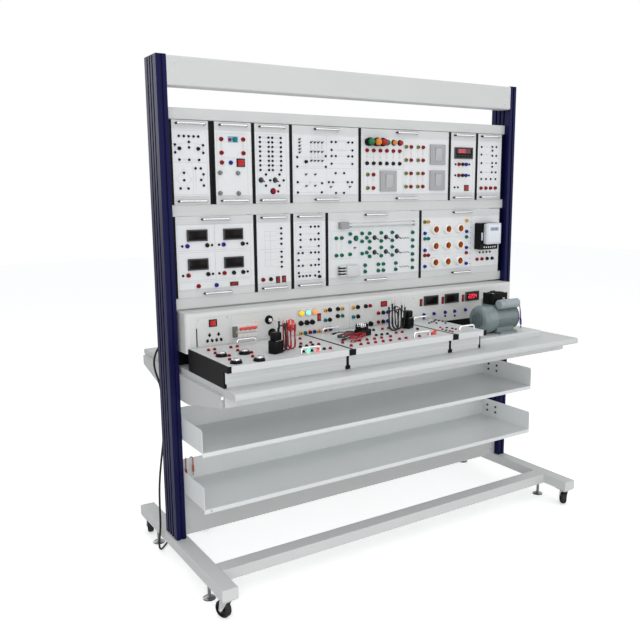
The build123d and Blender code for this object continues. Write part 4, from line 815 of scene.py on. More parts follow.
terminal_finish = {
    "black": moulded("terminal_black", (10, 10, 12)),
    "navy": moulded("terminal_navy", (16, 16, 62)),
    "red": moulded("terminal_red", (146, 10, 32)),
    "blue": moulded("terminal_blue", (30, 44, 150)),
    "green": moulded("terminal_green", (14, 112, 88)),
    "amber": moulded("terminal_amber", (214, 160, 60)),
    "lime": moulded("terminal_lime", (120, 122, 62)),
    "teal": moulded("terminal_teal", (20, 118, 120)),
}
# Each socket's hole is filled and capped in dark plastic: painted shade of the hole.
hole_shade_dark = finish("hole_shade_dark", shade(34, 22, 26), 0.4, grain=0.01, shine=0.2)
large_terminal = turned(((0, 0.001), (0.002, 0.001), (0.002, 0.009), (0.0058, 0.009),
                         (0.0066, 0.0082),
                         (0.0066, 0.003), (0.0082, 0.0024), (0.0082, 0), (0, 0)), 20)
hole_shade_cap = turned(((0, 0.0015), (0.0021, 0.0015), (0.0021, 0.0092), (0.0033, 0.0092),
                     (0.0033, 0.008),
                     (0, 0.008)), 14)
small_jack = turned(((0, 0.001), (0.0014, 0.001), (0.0014, 0.0042), (0.0036, 0.0042),
                     (0.0046, 0.0032),
                     (0.0046, 0), (0, 0)), 12)
large_terminals = {
    "up2": {"red": [(33, 235), (122, 236), (33, 186), (122, 186), (33, 151)], "blue": [(69, 151)]},
    "up5": {"red": [(36 + i * 34.1, 209) for i in range(6)]
            + [(x, z) for x in (69,) for z in (111, 56)]
            + [(x, z) for x in (269, 335) for z in (228, 173, 117, 61)],
            "black": [(36 + i * 34.1, 157) for i in range(6)],
            "lime": [(x, z) for x in (40,) for z in (111, 56)]
            + [(x, z) for x in (242, 307) for z in (228, 173, 117, 61)]},
    "up6": {"red": [(55, 159), (55, 110)], "black": [(78, 159), (78, 110)],
            "blue": [(99, 159), (99, 110)]},
    "up7": {"red": [(31 + i * 30.3, 53) for i in range(4)]},
    "low1": {"blue": [(49, 190), (193, 190), (159, 40)],
             "red": [(49, 83), (193, 83), (87, 41)],
             "black": [(127, 190), (272, 190), (127, 83), (232, 82), (271, 82)]},
    "low2": {"red": [(30, 46)], "black": [(64, 46)]},
    "low4": {"green": [(x, z) for x in (45, 72) for z in (193, 122)]
             + [(x, z) for x in (174,) for z in (208, 175, 124)]
             + [(x, z) for x in (213, 274, 333) for z in (207, 173, 145, 110)]
             + [(x, z) for x in (190, 259, 286, 353) for z in (74, 47)]
             + [(198, 189), (198, 127), (113, 124)]
             + [(445, z) for z in (203, 170, 142, 109, 82, 49)],
             "teal": [(114, 208), (112, 175)]},
    "low5": {"amber": [(44, 246), (273, 245)], "lime": [(24, 246)],
             "blue": [(26, 196), (27, 121), (28, 49), (274, 196), (275, 122), (275, 49)],
             "teal": [(26, 172), (46, 172)], "green": [(274, 171)],
             "red": [(27, 98), (47, 98), (275, 98), (344, 64), (375, 64)],
             "black": [(409, 64), (441, 64)]},
}
small_jacks = {
    "up1": [(33 + i * 18.5, 241) for i in range(5)] + [(70, 221), (70, 202)]
    + [(17, 211), (17, 184), (124, 211), (124, 184)] + [(32, 159), (69, 159), (107, 159)]
    + [(47, 113), (47, 87), (32, 58), (62, 58), (92, 129), (112, 129), (122, 108),
       (112, 88), (122, 68)],
    "up3": [(x, 246 - i * 17.2) for x in (29, 66, 82, 119) for i in range(8)]
    + [(52, 109), (111, 109), (70, 87), (129, 87), (51, 67), (110, 67)],
    "up4": [(28, 176), (160, 182), (28, 140), (160, 140)]
    + [(x, z) for x in (188, 289) for z in (238, 207, 183, 153)]
    + [(x, z) for x in (208, 269) for z in (238, 183)]
    + [(29, 80), (142, 76), (29, 40), (140, 40), (207, 116), (248, 116), (174, 80), (194, 80),
       (266, 80), (287, 80), (208, 37), (247, 37)],
    "up6": [(35, 159), (118, 159), (35, 110), (118, 110), (32, 57), (52, 57)],
    "up7": [(29, 238), (97, 240), (122, 240), (98, 223), (29, 204), (98, 200),
            (123, 200), (30, 166),
            (98, 167), (123, 167), (99, 150), (30, 125), (98, 125), (122, 125)]
    + [(32 + i * 30, 94) for i in range(4)],
    "low1": [(29, 190), (146, 190), (174, 190), (291, 190), (28, 83), (146, 83),
             (172, 83), (290, 83)],
    "low2": [(114, z) for z in (242, 222, 202, 182, 151, 131, 111, 92)],
    "low3": [(38, z) for z in (244, 215, 193, 165)] + [(28, z) for z in (141, 113, 90, 62)]
    + [(47, 141), (47, 90)] + [(x, z) for x in (86, 106) for z in (244, 193, 141, 90)]
    + [(123, z) for z in (244, 216, 193, 166, 140, 112, 90, 61)]
    + [(31 + i * 16.5, 48) for i in range(4)]
    + [(105, 47)],
    "low5": [(361 + i * 21.7, 95) for i in range(4)],
}
panel_spots = {}
for panel, colours in large_terminals.items():
    for colour, spots in colours.items():
        panel_spots.setdefault(colour, []).extend(on_panel(panel, spots))
for colour, spots in panel_spots.items():
    repeat("panel_terminals_" + colour, large_terminal, spots, facing_front,
           terminal_finish[colour])
every_spot = [spot for spots in panel_spots.values() for spot in spots]
repeat("panel_terminal_cores", hole_shade_cap, every_spot, facing_front, hole_shade_dark)
for colour, owners in (("navy", ("up1", "up3", "up4", "low3")),
                       ("black", ("up6", "up7", "low1", "low2", "low5"))):
    small_spots = [spot for owner in owners for spot in on_panel(owner, small_jacks[owner])]
    repeat("panel_jacks_" + colour, small_jack, small_spots, facing_front, terminal_finish[colour])


# Panel meters: moulded cases clipped into the boards and the console. Each has a smoked
# window, and the two that are switched on show red figures behind it.
def slab(low, high, bevel=0.0008, steps=2):
    """A closed moulded block between two corners, with rounded edges."""
    build = bmesh.new()
    bmesh.ops.create_cube(build, size=1)
    for vertex in build.verts:
        vertex.co = [low[i] + (vertex.co[i] + 0.5) * (high[i] - low[i]) for i in range(3)]
    bmesh.ops.bevel(build, geom=build.edges[:], offset=bevel, segments=steps, profile=0.5,
                    affect="EDGES")
    for face in build.faces:
        face.smooth = True
    for edge in build.edges:
        edge.smooth = edge.calc_face_angle(0) < math.radians(50)
    mesh = bpy.data.meshes.new("slab")
    build.to_mesh(mesh)
    build.free()
    return mesh


def together(name, pieces):
    """One mesh from several: each is a mesh and its place."""
    build = bmesh.new()
    for mesh, place in pieces:
        placed = mesh.copy()
        placed.transform(place)
        build.from_mesh(placed)
        bpy.data.meshes.remove(placed)
    mesh = bpy.data.meshes.new(name)
    build.to_mesh(mesh)
    build.free()
    return mesh


def glowing(name, colour, strength, rough=0.25):
    """Coloured plastic with a lamp behind it."""
    made = finish(name, colour, rough, grain=0.01)
    shader = made.node_tree.nodes["Principled BSDF"]
    shader.inputs["Emission Color"].default_value = (*colour, 1)
    shader.inputs["Emission Strength"].default_value = strength
    return made


unturned = Matrix.Identity(4)
meter_case = finish("meter_case", shade(62, 63, 66), 0.45, shine=0.2)
meter_glass = finish("meter_glass", shade(20, 14, 15), 0.16, grain=0.0, shine=0.1)
lit_red = glowing("lit_red", shade(236, 40, 62), 1.3)
dress("panel_meters", meter_case)
console_face = -0.038
console_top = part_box("console_case")[1].z
figure_bars = {"0": "abcdef", "1": "bc", "2": "abged", "3": "abgcd", "4": "fgbc", "5": "afgcd",
               "6": "afgedc", "7": "abc", "8": "abcdefg", "9": "abfgcd"}


def figures(text, middle_x, middle_z, tall):
    """Strokes of lit figures in a row."""
    wide = tall * 0.5
    step = tall * 0.78
    strokes = []
    for number, figure in enumerate(text):
        x = middle_x + (number - (len(text) - 1) / 2) * step
        a, b = x - wide / 2, x + wide / 2
        low, mid, high = middle_z - tall / 2, middle_z, middle_z + tall / 2
        bars = {"a": (a, high, b, high), "b": (b, mid, b, high), "c": (b, low, b, mid),
                "d": (a, low, b, low), "e": (a, low, a, mid), "f": (a, mid, a, high),
                "g": (a, mid, b, mid)}
        strokes += [bars[bar] for bar in figure_bars[figure]]
    return strokes


meter_spots = []
for x in (0.323, 0.443, 0.566):
    meter_spots.append((x, console_face, console_top - 0.0455, 0.080, 0.042))
for x in (-0.075, 0.070):
    for z in (0.079, -0.027):
        meter_spots.append((panels["low1"][0] + unit + x, panel_face, lower_base + 0.1485 + z,
                            0.080, 0.042))
timer_x = panels["up6"][0] + unit / 2
timer_z = panels["up6"][1] + 0.208
meter_spots.append((timer_x, panel_face, timer_z, 0.108, 0.050))
panes = []
for x, face_y, z, wide, tall in meter_spots:
    floor_y = face_y - 0.0032
    low_edge = z - tall / 2 + (0.017 if wide > 0.1 else 0.0052)
    panes.append((slab((x - wide / 2 + 0.0052, floor_y - 0.0018, low_edge),
                       (x + wide / 2 - 0.0052, floor_y, z + tall / 2 - 0.0052), 0.0006), unturned))
    if wide > 0.1:
        for key in range(5):
            key_x = x - 0.036 + key * 0.018
            panes.append((slab((key_x - 0.006, floor_y - 0.003, z - tall / 2 + 0.007),
                               (key_x + 0.006, floor_y, z - tall / 2 + 0.014), 0.0008), unturned))
place_piece("meter_windows", together("meter_windows", panes), unturned, meter_glass)
shown = figures("2204", 0.566, console_top - 0.0455, 0.017)
printed("console_figures", shown, 0.0026, console_face - 0.0052, lit_red)
shown = figures("0000", timer_x - 0.012, timer_z + 0.009, 0.013)
printed("timer_figures", shown, 0.0020, panel_face - 0.0052,
        glowing("dull_red", shade(226, 84, 100), 0.4))
printed("timer_field",
        [(timer_x - 0.040, timer_z + 0.009, timer_x + 0.040, timer_z + 0.009)], 0.020,
        panel_face - 0.0051, finish("timer_field", shade(96, 40, 50), 0.3))


# Rocker switches on the panels: red keys in black frames, snapped into the boards and fixed
# here in one position.
switch_red = glowing("switch_red", shade(176, 18, 16), 0.06, 0.3)
switch_black = finish("switch_black", shade(10, 10, 11), 0.36, shine=0.14)


def fixed_rocker(name, x, z, wide, tall, keys=1):
    """A frame with one or two keys side by side, the lower half of each pressed in."""
    edge = 0.0036
    frame_bars = [
        (slab((-wide / 2, -tall / 2, 0), (-wide / 2 + edge, tall / 2, 0.003), 0.0005), unturned),
        (slab((wide / 2 - edge, -tall / 2, 0), (wide / 2, tall / 2, 0.003), 0.0005), unturned),
        (slab((-wide / 2, tall / 2 - edge, 0), (wide / 2, tall / 2, 0.003), 0.0005), unturned),
        (slab((-wide / 2, -tall / 2, 0), (wide / 2, -tall / 2 + edge, 0.003), 0.0005), unturned),
    ]
    place = Matrix.Translation((x, panel_face, z)) @ Matrix.Rotation(math.pi / 2, 4, "X")
    place_piece(name + "_frame", together("frame", frame_bars), place, switch_black)
    key_wide = (wide - 2 * edge) / keys
    halves = []
    for key in range(keys):
        low_x = -wide / 2 + edge + key * key_wide + 0.0004
        high_x = low_x + key_wide - 0.0008
        reach = tall / 2 - edge - 0.0004
        for sign, lean in ((1, 8), (-1, -4)):
            half = slab((low_x, 0, 0.0002), (high_x, reach, 0.0042), 0.0005)
            flip = Matrix.Rotation(math.pi, 4, "Z") @ Matrix.Translation((-low_x - high_x, 0, 0))
            tilt = Matrix.Rotation(math.radians(lean), 4, "X")
            halves.append((half, tilt if sign > 0 else flip
                           @ Matrix.Rotation(math.radians(4), 4, "X")))
    place_piece(name + "_key", together("key", halves), place, switch_red)


for panel, spots in {"up2": ((110, 151, 34, 30, 1),), "up6": ((104, 54, 26, 26, 1),),
                     "low1": ((232, 40, 34, 15, 2),),
                     "low2": ((96, 42, 17, 26, 1), (123, 43, 17, 26, 1))}.items():
    for number, (x, z, wide, tall, keys) in enumerate(spots):
        (place_x, _, place_z), = on_panel(panel, [(x, z)])
        fixed_rocker(f"{panel}_rocker_{number + 1}", place_x, place_z, wide / 1000,
                     tall / 1000, keys)


# Toggles: nickel-plated bat levers on threaded bushings, held by hexagon nuts. Six on the
# fourth lower panel and two on the third upper panel are large ones.
def toggle_mesh(lean):
    nut = turned(((0, 0), (0.0045, 0), (0.0045, 0.0018), (0, 0.0018)), 6)
    bushing = turned(((0, 0.0015), (0.0028, 0.0015), (0.0028, 0.0052), (0.0022, 0.0058),
                      (0, 0.0058)), 10)
    lever = turned(((0, 0), (0.0009, 0), (0.0013, 0.007), (0.0016, 0.0095), (0.0012, 0.0108),
                    (0, 0.0112)), 8)
    tilt = Matrix.Translation((0, 0, 0.0045)) @ Matrix.Rotation(math.radians(lean), 4, "X")
    return together("toggle", [(nut, unturned), (bushing, unturned), (lever, tilt)])


nickel = finish("nickel", (0.5, 0.5, 0.5), 0.24, 1.0)
dark_metal_and_shade = finish("dark_metal_and_shade", (0.09, 0.09, 0.095), 0.3, 1.0)
small_toggles = on_panel("up4", [(39, z) for z in (244, 232, 219, 206, 194)]
                         + [(x, z) for x in (92, 109, 125, 143) for z in (234, 198, 163)]
                         + [(67, 110), (110, 110), (68, 65), (109, 66), (183, 61), (276, 61)])
small_toggles += on_panel("low4", [(137, 150)])
# Nut, bushing and lever are coloured dark metal: painted shade and dark reflection over their
# nickel plate.
repeat("small_toggles", toggle_mesh(-16), small_toggles, facing_front, dark_metal_and_shade)
large_toggles = on_panel("low4", [(x, z) for z in (188, 126) for x in (240, 300, 359)])
large_toggles += on_panel("up3", [(31, 88), (92, 88)])
repeat("large_toggles", toggle_mesh(18), large_toggles, facing_front, dark_metal_and_shade, size=1.9)
toggle_boot = turned(((0, 0), (0.0105, 0), (0.0105, 0.0016), (0.0086, 0.0022), (0.0086, 0.0031),
                      (0, 0.0031)), 16)
repeat("toggle_boots", toggle_boot, large_toggles, facing_front, switch_black)


# Knobs and push buttons: turned aluminium or moulded plastic, on spindles that pass through
# the boards.
def knob_mesh(radius, height, ridges=0):
    """A skirted knob; ridges gives it a fluted grip."""
    points = [(0, 0), (radius, 0), (radius, height * 0.18), (radius * 0.82, height * 0.3),
              (radius * 0.76, height * 0.92), (radius * 0.68, height), (0, height)]
    mesh = turned(points, 2 * ridges if ridges else 18)
    if ridges:
        for number, vertex in enumerate(mesh.vertices):
            turn_step = round(math.atan2(vertex.co.y, vertex.co.x) / (math.pi / ridges))
            if turn_step % 2 and vertex.co.z > height * 0.25:
                vertex.co.x *= 0.93
                vertex.co.y *= 0.93
    return mesh


grey_knob = finish("grey_knob", shade(120, 122, 124), 0.35)
repeat("grey_knobs", knob_mesh(0.0085, 0.012, 9),
       on_panel("up2", [(25, 114), (97, 113), (23, 40), (98, 39)]),
       facing_front, grey_knob)
repeat("black_knobs", knob_mesh(0.0070, 0.011, 8),
       on_panel("up1", [(33, 198), (105, 198)]) + on_panel("up4", [(68, 159)])
       + on_panel("low3", [(125, 42)]),
       facing_front, switch_black)
push_button = turned(((0, 0), (0.0095, 0), (0.0095, 0.003), (0.0078, 0.0036), (0.0078, 0.0075),
                      (0.0066, 0.0085), (0, 0.0085)), 20)
button_ring = turned(((0.0096, 0), (0.0118, 0), (0.0118, 0.0025), (0.0096, 0.0042),
                      (0.0096, 0)), 20)
repeat("red_button", push_button, on_panel("up3", [(82, 46)]), facing_front, terminal_finish["red"])
repeat("green_button", push_button, on_panel("low4", [(144, 189)]), facing_front,
       terminal_finish["green"])
repeat("button_rings", button_ring, on_panel("up3", [(82, 46)]) + on_panel("low4", [(144, 189)]),
       facing_front, switch_black)
repeat("red_jacks", small_jack, on_panel("up3", [(104, 45)]) + on_panel("low3", [(31, 48)]),
       facing_front, terminal_finish["red"])
(plate_x, _, plate_z), = on_panel("up2", [(80, 235)])
place_piece("blue_plate", slab((plate_x - 0.020, panel_face - 0.0012, plate_z - 0.011),
                               (plate_x + 0.022, panel_face, plate_z + 0.011), 0.0006), unturned,
            finish("blue_plate", shade(120, 170, 196), 0.35))
repeat("plate_lamp", push_button, [(plate_x + 0.008, panel_face - 0.001, plate_z)], facing_front,
       terminal_finish["teal"])
repeat("plate_jack", small_jack, [(plate_x - 0.013, panel_face - 0.001, plate_z - 0.001)],
       facing_front,
       terminal_finish["red"], size=1.3)


# Indicator lamps: ribbed plastic lenses in black or chromed collars, pushed through the board
# and wired from behind.
lens = turned(((0, 0.004), (0.0120, 0.004), (0.0126, 0.007), (0.0121, 0.010), (0.0124, 0.0125),
               (0.0116, 0.0165), (0.0085, 0.0205), (0.0045, 0.0225), (0, 0.0230)), 24)
collar = turned(((0.0118, 0), (0.0160, 0), (0.0160, 0.004), (0.0140, 0.0078), (0.0118, 0.0078),
                 (0.0118, 0)), 24)
lamp_colours = {
    "green": glowing("lens_green", shade(20, 112, 66), 0.05),
    "orange": glowing("lens_orange", shade(214, 128, 30), 0.08),
    "red": glowing("lens_red", shade(158, 22, 26), 0.05),
    "yellow": glowing("lens_yellow", shade(246, 206, 40), 0.35),
    "white": glowing("lens_white", shade(150, 230, 214), 0.5),
    "amber": glowing("lens_amber", shade(244, 150, 84), 0.45),
}
row_lamps = (("green", 40, 1.12), ("orange", 76, 1.12), ("red", 107, 1.12), ("green", 141, 0.78),
             ("orange", 175, 0.78), ("red", 208, 0.78))
barrel = turned(((0, 0), (0.0138, 0), (0.0138, 0.0140), (0.0126, 0.0150), (0, 0.0150)), 24)
for number, (colour, x, size) in enumerate(row_lamps):
    spot = on_panel("up5", [(x, 243)])
    rise = 0.0145 * size if size > 1 else 0
    if rise:
        repeat(f"panel_lamp_barrel_{number + 1}", barrel.copy(), spot, facing_front, switch_black,
               size=size)
        spot = [(spot[0][0], spot[0][1] - rise, spot[0][2])]
    repeat(f"panel_lamp_{number + 1}", lens.copy(), spot, facing_front, lamp_colours[colour],
           size=size)
    repeat(f"panel_lamp_collar_{number + 1}", collar.copy(), spot, facing_front, switch_black,
           size=size)


# Wall switches: three grey square plates of moulded plastic, each with one broad key in a
# raised frame.
plate_grey = finish("plate_grey", shade(166, 167, 168), 0.42)
key_grey = finish("key_grey", shade(178, 179, 180), 0.36)
smooth_copy("wall_switch_plates", plate_grey)
keys = []
for x, z in ((0.172, 0.050), (0.172, -0.061), (-0.099, -0.064)):
    plate_x = panels["up5"][0] + 1.5 * unit + x
    plate_z = panels["up5"][1] + 0.1485 + z
    front_y = panel_face - 0.009
    for side in (-1, 1):
        keys.append((slab((plate_x + side * 0.0315 - 0.0015, front_y - 0.0016, plate_z - 0.033),
                          (plate_x + side * 0.0315 + 0.0015, front_y, plate_z + 0.033), 0.0007),
                     unturned))
        keys.append((slab((plate_x - 0.033, front_y - 0.0016, plate_z + side * 0.0315 - 0.0015),
                          (plate_x + 0.033, front_y, plate_z + side * 0.0315 + 0.0015), 0.0007),
                     unturned))
    lean = (Matrix.Translation((plate_x, front_y, plate_z))
            @ Matrix.Rotation(math.radians(2.5), 4, "X"))
    keys.append((slab((-0.017, -0.0034, -0.028), (0.017, 0.0006, 0.028), 0.001), lean))
place_piece("wall_switch_keys", together("keys", keys), unturned, key_grey)


# Lamp sockets: white moulded rings with a threaded copper-coloured liner and a contact at the
# bottom. They are screwed to the board from behind.
socket_white = finish("socket_white", shade(240, 239, 235), 0.25, coat=0.3)
smooth_copy("lamp_sockets", socket_white)
liner_points = [(0, 0.0042), (0.0144, 0.0042)]
for ridge in range(6):
    height = 0.0052 + ridge * 0.0021
    liner_points += [(0.0144, height), (0.0149, height + 0.00105)]
liner_points += [(0.0144, 0.0174), (0.0137, 0.0174), (0.0137, 0.0050), (0.0040, 0.0050),
                 (0.0034, 0.0066), (0, 0.0070)]
liner = turned(liner_points, 20)
socket_spots = []
socket_x = panels["low5"][0] + 1.5 * unit - 0.092
for column in (-1, 0, 1):
    for row in (-1, 0, 1):
        socket_spots.append((socket_x + column * 0.0735, panel_face, lower_base + 0.1385
                             + row * 0.0735))
repeat("socket_liners", liner, socket_spots, facing_front,
       finish("socket_copper", shade(214, 126, 46), 0.38, 0.35, grain=0.02))
contact = turned(((0, 0.0045), (0.0096, 0.0045), (0.0096, 0.0062), (0.0070, 0.0072),
                  (0.0040, 0.0090),
                  (0, 0.0095)), 18)
repeat("socket_contacts", contact, socket_spots, facing_front,
       finish("contact_brown", shade(84, 52, 34), 0.4))


# Fluorescent lamp: a white glass tube with metal caps, held by two pale moulded holders.
# Its starter sits in a holder of its own, lower on the same board.
holder_plastic = finish("holder_plastic", shade(206, 208, 208), 0.35)
fluorescent = smooth_copy("fluorescent_lamp", holder_plastic, 30)
fluorescent.data.materials.append(finish("holder_grey", shade(150, 152, 152), 0.4))
for face in fluorescent.data.polygons:
    if face.center.x < panels["low4"][0] + 0.0975:
        face.material_index = 1
board_height = 0.297
tube_drop = 0.053
tube_inset = 0.098
tube_length = 0.345
tube_z = lower_base + board_height - tube_drop
tube_left = panels["low4"][0] + tube_inset
tube_y = panel_face - 0.011
cap_ring = turned(((0.0081, 0), (0.0084, 0.0004), (0.0084, 0.0130), (0.0081, 0.0134),
                   (0.0081, 0)), 20)
tube_caps = []
for x in (tube_left + 0.0005, tube_left + tube_length - 0.0145):
    tube_caps.append((cap_ring, Matrix.Translation((x, tube_y, tube_z))
                      @ Matrix.Rotation(math.pi / 2, 4, "Y")))
place_piece("tube_caps", together("tube_caps", tube_caps), unturned, nickel)
starter_z = lower_base + 0.058
starter_left = panels["low4"][0] + 0.051
starter = [(slab((starter_left + 0.030, panel_face - 0.030, starter_z - 0.022),
                 (starter_left + 0.095, panel_face, starter_z + 0.022), 0.0015), unturned)]
for rib in range(4):
    rib_z = starter_z - 0.0205 + rib * 0.0120
    starter.append((slab((starter_left, panel_face - 0.026, rib_z),
                         (starter_left + 0.031, panel_face, rib_z + 0.0050), 0.0008),
                    unturned))
place_piece("starter_holder", together("starter", starter), unturned, holder_plastic)
# A black block behind the ribs shows in the gaps between them: painted shade.
place_piece("starter_gap", slab((starter_left + 0.003, panel_face - 0.016, starter_z - 0.018),
                                (starter_left + 0.030, panel_face, starter_z + 0.018), 0.001),
            unturned, switch_black)


# Energy meter: a black moulded base with a pale cover over its coil and counter, and a row of
# terminals under it. Two screws hold it to the board.
smooth_copy("energy_meter", switch_black)
energy_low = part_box("energy_meter")[0]
cover_front = energy_low.y
cover_pale = finish("cover_pale", shade(206, 211, 218), 0.22, coat=0.4)
cover_x = panels["low5"][0] + 3 * unit - 0.100
cover_z = lower_base + 0.184
place_piece("energy_cover", slab((cover_x - 0.0466, cover_front - 0.0006, cover_z - 0.0486),
                                 (cover_x + 0.0466, cover_front + 0.0225, cover_z + 0.0486),
                                 0.005, 3),
            unturned, cover_pale)
place_piece("energy_label", slab((cover_x - 0.036, cover_front - 0.0014, cover_z - 0.038),
                                 (cover_x + 0.036, cover_front - 0.0004, cover_z + 0.040), 0.0004),
            unturned, finish("label_pale", shade(222, 226, 232), 0.4))
place_piece("energy_window", slab((cover_x - 0.026, cover_front - 0.0022, cover_z + 0.014),
                                  (cover_x + 0.026, cover_front - 0.0012, cover_z + 0.030), 0.0004),
            unturned, finish("window_blue", shade(160, 172, 194), 0.2))
printed("energy_figures", figures("00136", cover_x, cover_z + 0.022, 0.0085), 0.0011,
        cover_front - 0.0024, switch_black)
repeat("energy_terminals", small_jack,
       [(cover_x - 0.040 + i * 0.0135, energy_low.y + 0.0222, lower_base + 0.122)
        for i in range(6)],
       facing_front, nickel, size=0.9)
place_piece("energy_side", slab((energy_low.x + 0.004, energy_low.y + 0.0195, cover_z - 0.030),
                                (energy_low.x + 0.013, energy_low.y + 0.0225, cover_z + 0.006),
                                0.001),
            unturned, cover_pale)
coil_marks = [(377 + 7 * i, z + 1.8 * (-1) ** i) for z in (180, 118, 56) for i in range(8)]
repeat("coil_marks", slab((-0.0032, -0.0013, 0), (0.0032, 0.0013, 0.0010), 0.0003, 1),
       on_panel("low4", coil_marks), facing_front, switch_black)
repeat("panel_marks", slab((-0.003, -0.0008, 0), (0.003, 0.0008, 0.0012), 0.0003, 1),
       on_panel("low5", [(300, 238 - i * 24) for i in range(9)]), facing_front, switch_black)


# Worktop: a thick board with rounded edges on two folded brackets and a front rail.
# Its grey laminate is smooth and slightly marked by use.
worktop_laminate = finish("worktop_laminate", shade(200, 203, 202), 0.42, grain=0.03, stain=0.95)
smooth_copy("worktop", worktop_laminate)
sheet_coat = finish("sheet_coat", shade(200, 202, 201), 0.42, grain=0.05)
dress("worktop_brackets", sheet_coat)
dress("worktop_front_rail", sheet_coat)


# Tool trays and kick panel: folded sheet steel with a pale coat, screwed in place.
# Each side wall of a tray is held by bolts.
tray_coat = finish("tray_coat", shade(226, 229, 229), 0.4, grain=0.05)
smooth_copy("tool_trays", tray_coat)
dress("kick_panel", sheet_coat)
pan_head = turned(((0, 0), (0.0042, 0), (0.0042, 0.0008), (0.0034, 0.0019), (0.0012, 0.0024),
                   (0.0012, 0.0012), (0, 0.0012)), 14)
tray_low, tray_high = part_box("tool_trays")
kick_low, kick_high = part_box("kick_panel")
screw_spots = [(side * 0.800, kick_low.y, z) for side in (-1, 1)
               for z in (kick_low.z + 0.030, kick_high.z - 0.030)]
screw_spots += [(side * 0.800, tray_low.y, tray_low.z + 0.008) for side in (-1, 1)]
repeat("sheet_screws", pan_head, screw_spots, facing_front, steel)
wall_x = tray_high.x - 0.0021
wall_spots = [(y, floor + rise) for floor in (tray_low.z + 0.016, tray_low.z + 0.228)
              for y in (0.045, 0.100) for rise in (0.028, 0.055)]
bolt_head = turned(((0, 0), (0.0060, 0), (0.0060, 0.0012), (0.0050, 0.0030), (0.0020, 0.0034),
                    (0.0020, 0.0020), (0, 0.0020)), 14)
for side, turn in ((1, (0, -math.pi / 2, 0)), (-1, (0, math.pi / 2, 0))):
    repeat("tray_bolts_" + ("right" if side > 0 else "left"), bolt_head.copy(),
           [(side * wall_x, y, z) for y, z in wall_spots], turn, dark_metal_and_shade)
header_low, header_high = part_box("header_banner")
header_screws = [(side * 0.795, header_low.y, z) for side in (-1, 1)
                 for z in (header_low.z + 0.022, header_high.z - 0.022)]
repeat("header_screws", pan_head, header_screws, facing_front, steel)


# Console: a folded steel case with rounded front edges on a plinth, closed by a rear cover. The
# plinth's black is painted shade under the case. Thin printed frames group what is mounted in
# its front, and the words are left off.
console_coat = finish("console_coat", shade(214, 215, 213), 0.38, grain=0.03)
smooth_copy("console_case", console_coat)
dress("console_rear_cover", sheet_coat)
# Painted shade: the plinth's black stands for the shadow in the gap under the console.
dress("console_plinth", black_plastic)
frame_print = finish("frame_print", shade(176, 178, 180), 0.5)
frames = []
for x0, x1, z0, z1 in ((-0.776, -0.647, 0.865, 0.976), (-0.637, -0.359, 0.857, 0.976),
                       (-0.352, -0.243, 0.856, 0.975), (-0.235, -0.109, 0.856, 0.975),
                       (-0.108, 0.009, 0.856, 0.975), (0.018, 0.107, 0.856, 0.975)):
    frames += outline_of(x0, z0, x1, z1)
printed("console_frames", frames, 0.0007, console_face - 0.0002, frame_print)
place_piece("hatch_hinge",
            slab((-0.7785, console_face - 0.0018, 0.872), (-0.7745, console_face, 0.939),
                 0.0008), unturned, switch_black)
# The socket slots are thin black slabs on the face: painted shade of the openings.
socket_slots = []
for left in (-0.7265, -0.6905):
    slot_places = ((left, 0.9105, 0), (left - 0.0085, 0.8895, 22), (left + 0.0095, 0.8895, -22))
    for x, z, lean in slot_places:
        place = (Matrix.Translation((x, console_face, z))
                 @ Matrix.Rotation(math.radians(lean), 4, "Y"))
        socket_slots.append((slab((-0.0030, -0.0007, -0.0068), (0.0030, 0.0004, 0.0068), 0.0003),
                             place))
        socket_slots.append((slab((-0.0060, -0.0007, -0.0030), (0.0060, 0.0004, 0.0020), 0.0003),
                             place))
place_piece("socket_slots", together("slots", socket_slots), unturned, switch_black)
repeat("console_screws", pan_head,
       [(0.124, console_face, 0.966), (0.226, console_face, 0.966)]
       + [(x, console_face, z) for x in (-0.770, -0.653) for z in (0.870, 0.971)],
       facing_front, steel, size=0.8)
place_piece("cable_slot",
            slab((0.628, console_face - 0.0012, 0.909), (0.640, console_face, 0.932), 0.0008),
            unturned, finish("slot_grey", shade(150, 152, 154), 0.4))


# Console switches: red rockers on pins in black cups, a mushroom emergency stop with a chromed
# ring, and a key switch and a selector with black rings against the console.
dress("switch_bezels", switch_black)
for rocker in ("main_rocker", "lamp_rocker", "supply_rocker", "meter_rocker_1", "meter_rocker_2",
               "meter_rocker_3", "motor_rocker"):
    smooth_copy(rocker, switch_red, 40)
stop_red = finish("stop_red", shade(214, 44, 34), 0.3, grain=0.01, coat=0.4)
smooth_copy("estop_button", stop_red)
collar_height = 0.012
stop_gap = 0.007
stop_head = 0.0165
console_height = 0.146
stop_rise = 0.068
estop_spot = Vector((-0.400, console_face - collar_height - stop_gap - stop_head,
                     console_top - console_height + stop_rise))
arrows = []
for arm in range(3):
    rim = [(0.0085 * math.cos(math.radians(arm * 120 + step * 13)),
            0.0085 * math.sin(math.radians(arm * 120 + step * 13))) for step in range(7)]
    for (x0, z0), (x1, z1) in zip(rim[:-1], rim[1:]):
        arrows.append((estop_spot.x + x0, estop_spot.z + z0, estop_spot.x + x1, estop_spot.z + z1))
mark = printed("stop_arrows", arrows, 0.0022, estop_spot.y - 0.0018, console_coat)
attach(mark, "estop_button")
ring_26 = turned(((0.0132, 0), (0.0172, 0), (0.0172, 0.0024), (0.0150, 0.0040), (0.0132, 0.0040),
                  (0.0132, 0)), 28)
ring_30 = turned(((0.0152, 0), (0.0200, 0), (0.0200, 0.0022), (0.0176, 0.0036), (0.0152, 0.0036),
                  (0.0152, 0)), 28)
key_spot = (-0.481, console_face, console_top - 0.052)
selector_spot = (-0.468, console_face, console_top - 0.104)
repeat("control_rings", ring_26, [key_spot, selector_spot], facing_front, switch_black)
repeat("stop_ring", ring_30, [(-0.400, console_face, console_top - 0.078)], facing_front,
       chrome)
smooth_copy("key_switch", chrome, 40)
smooth_copy("selector_knob", switch_black, 40)


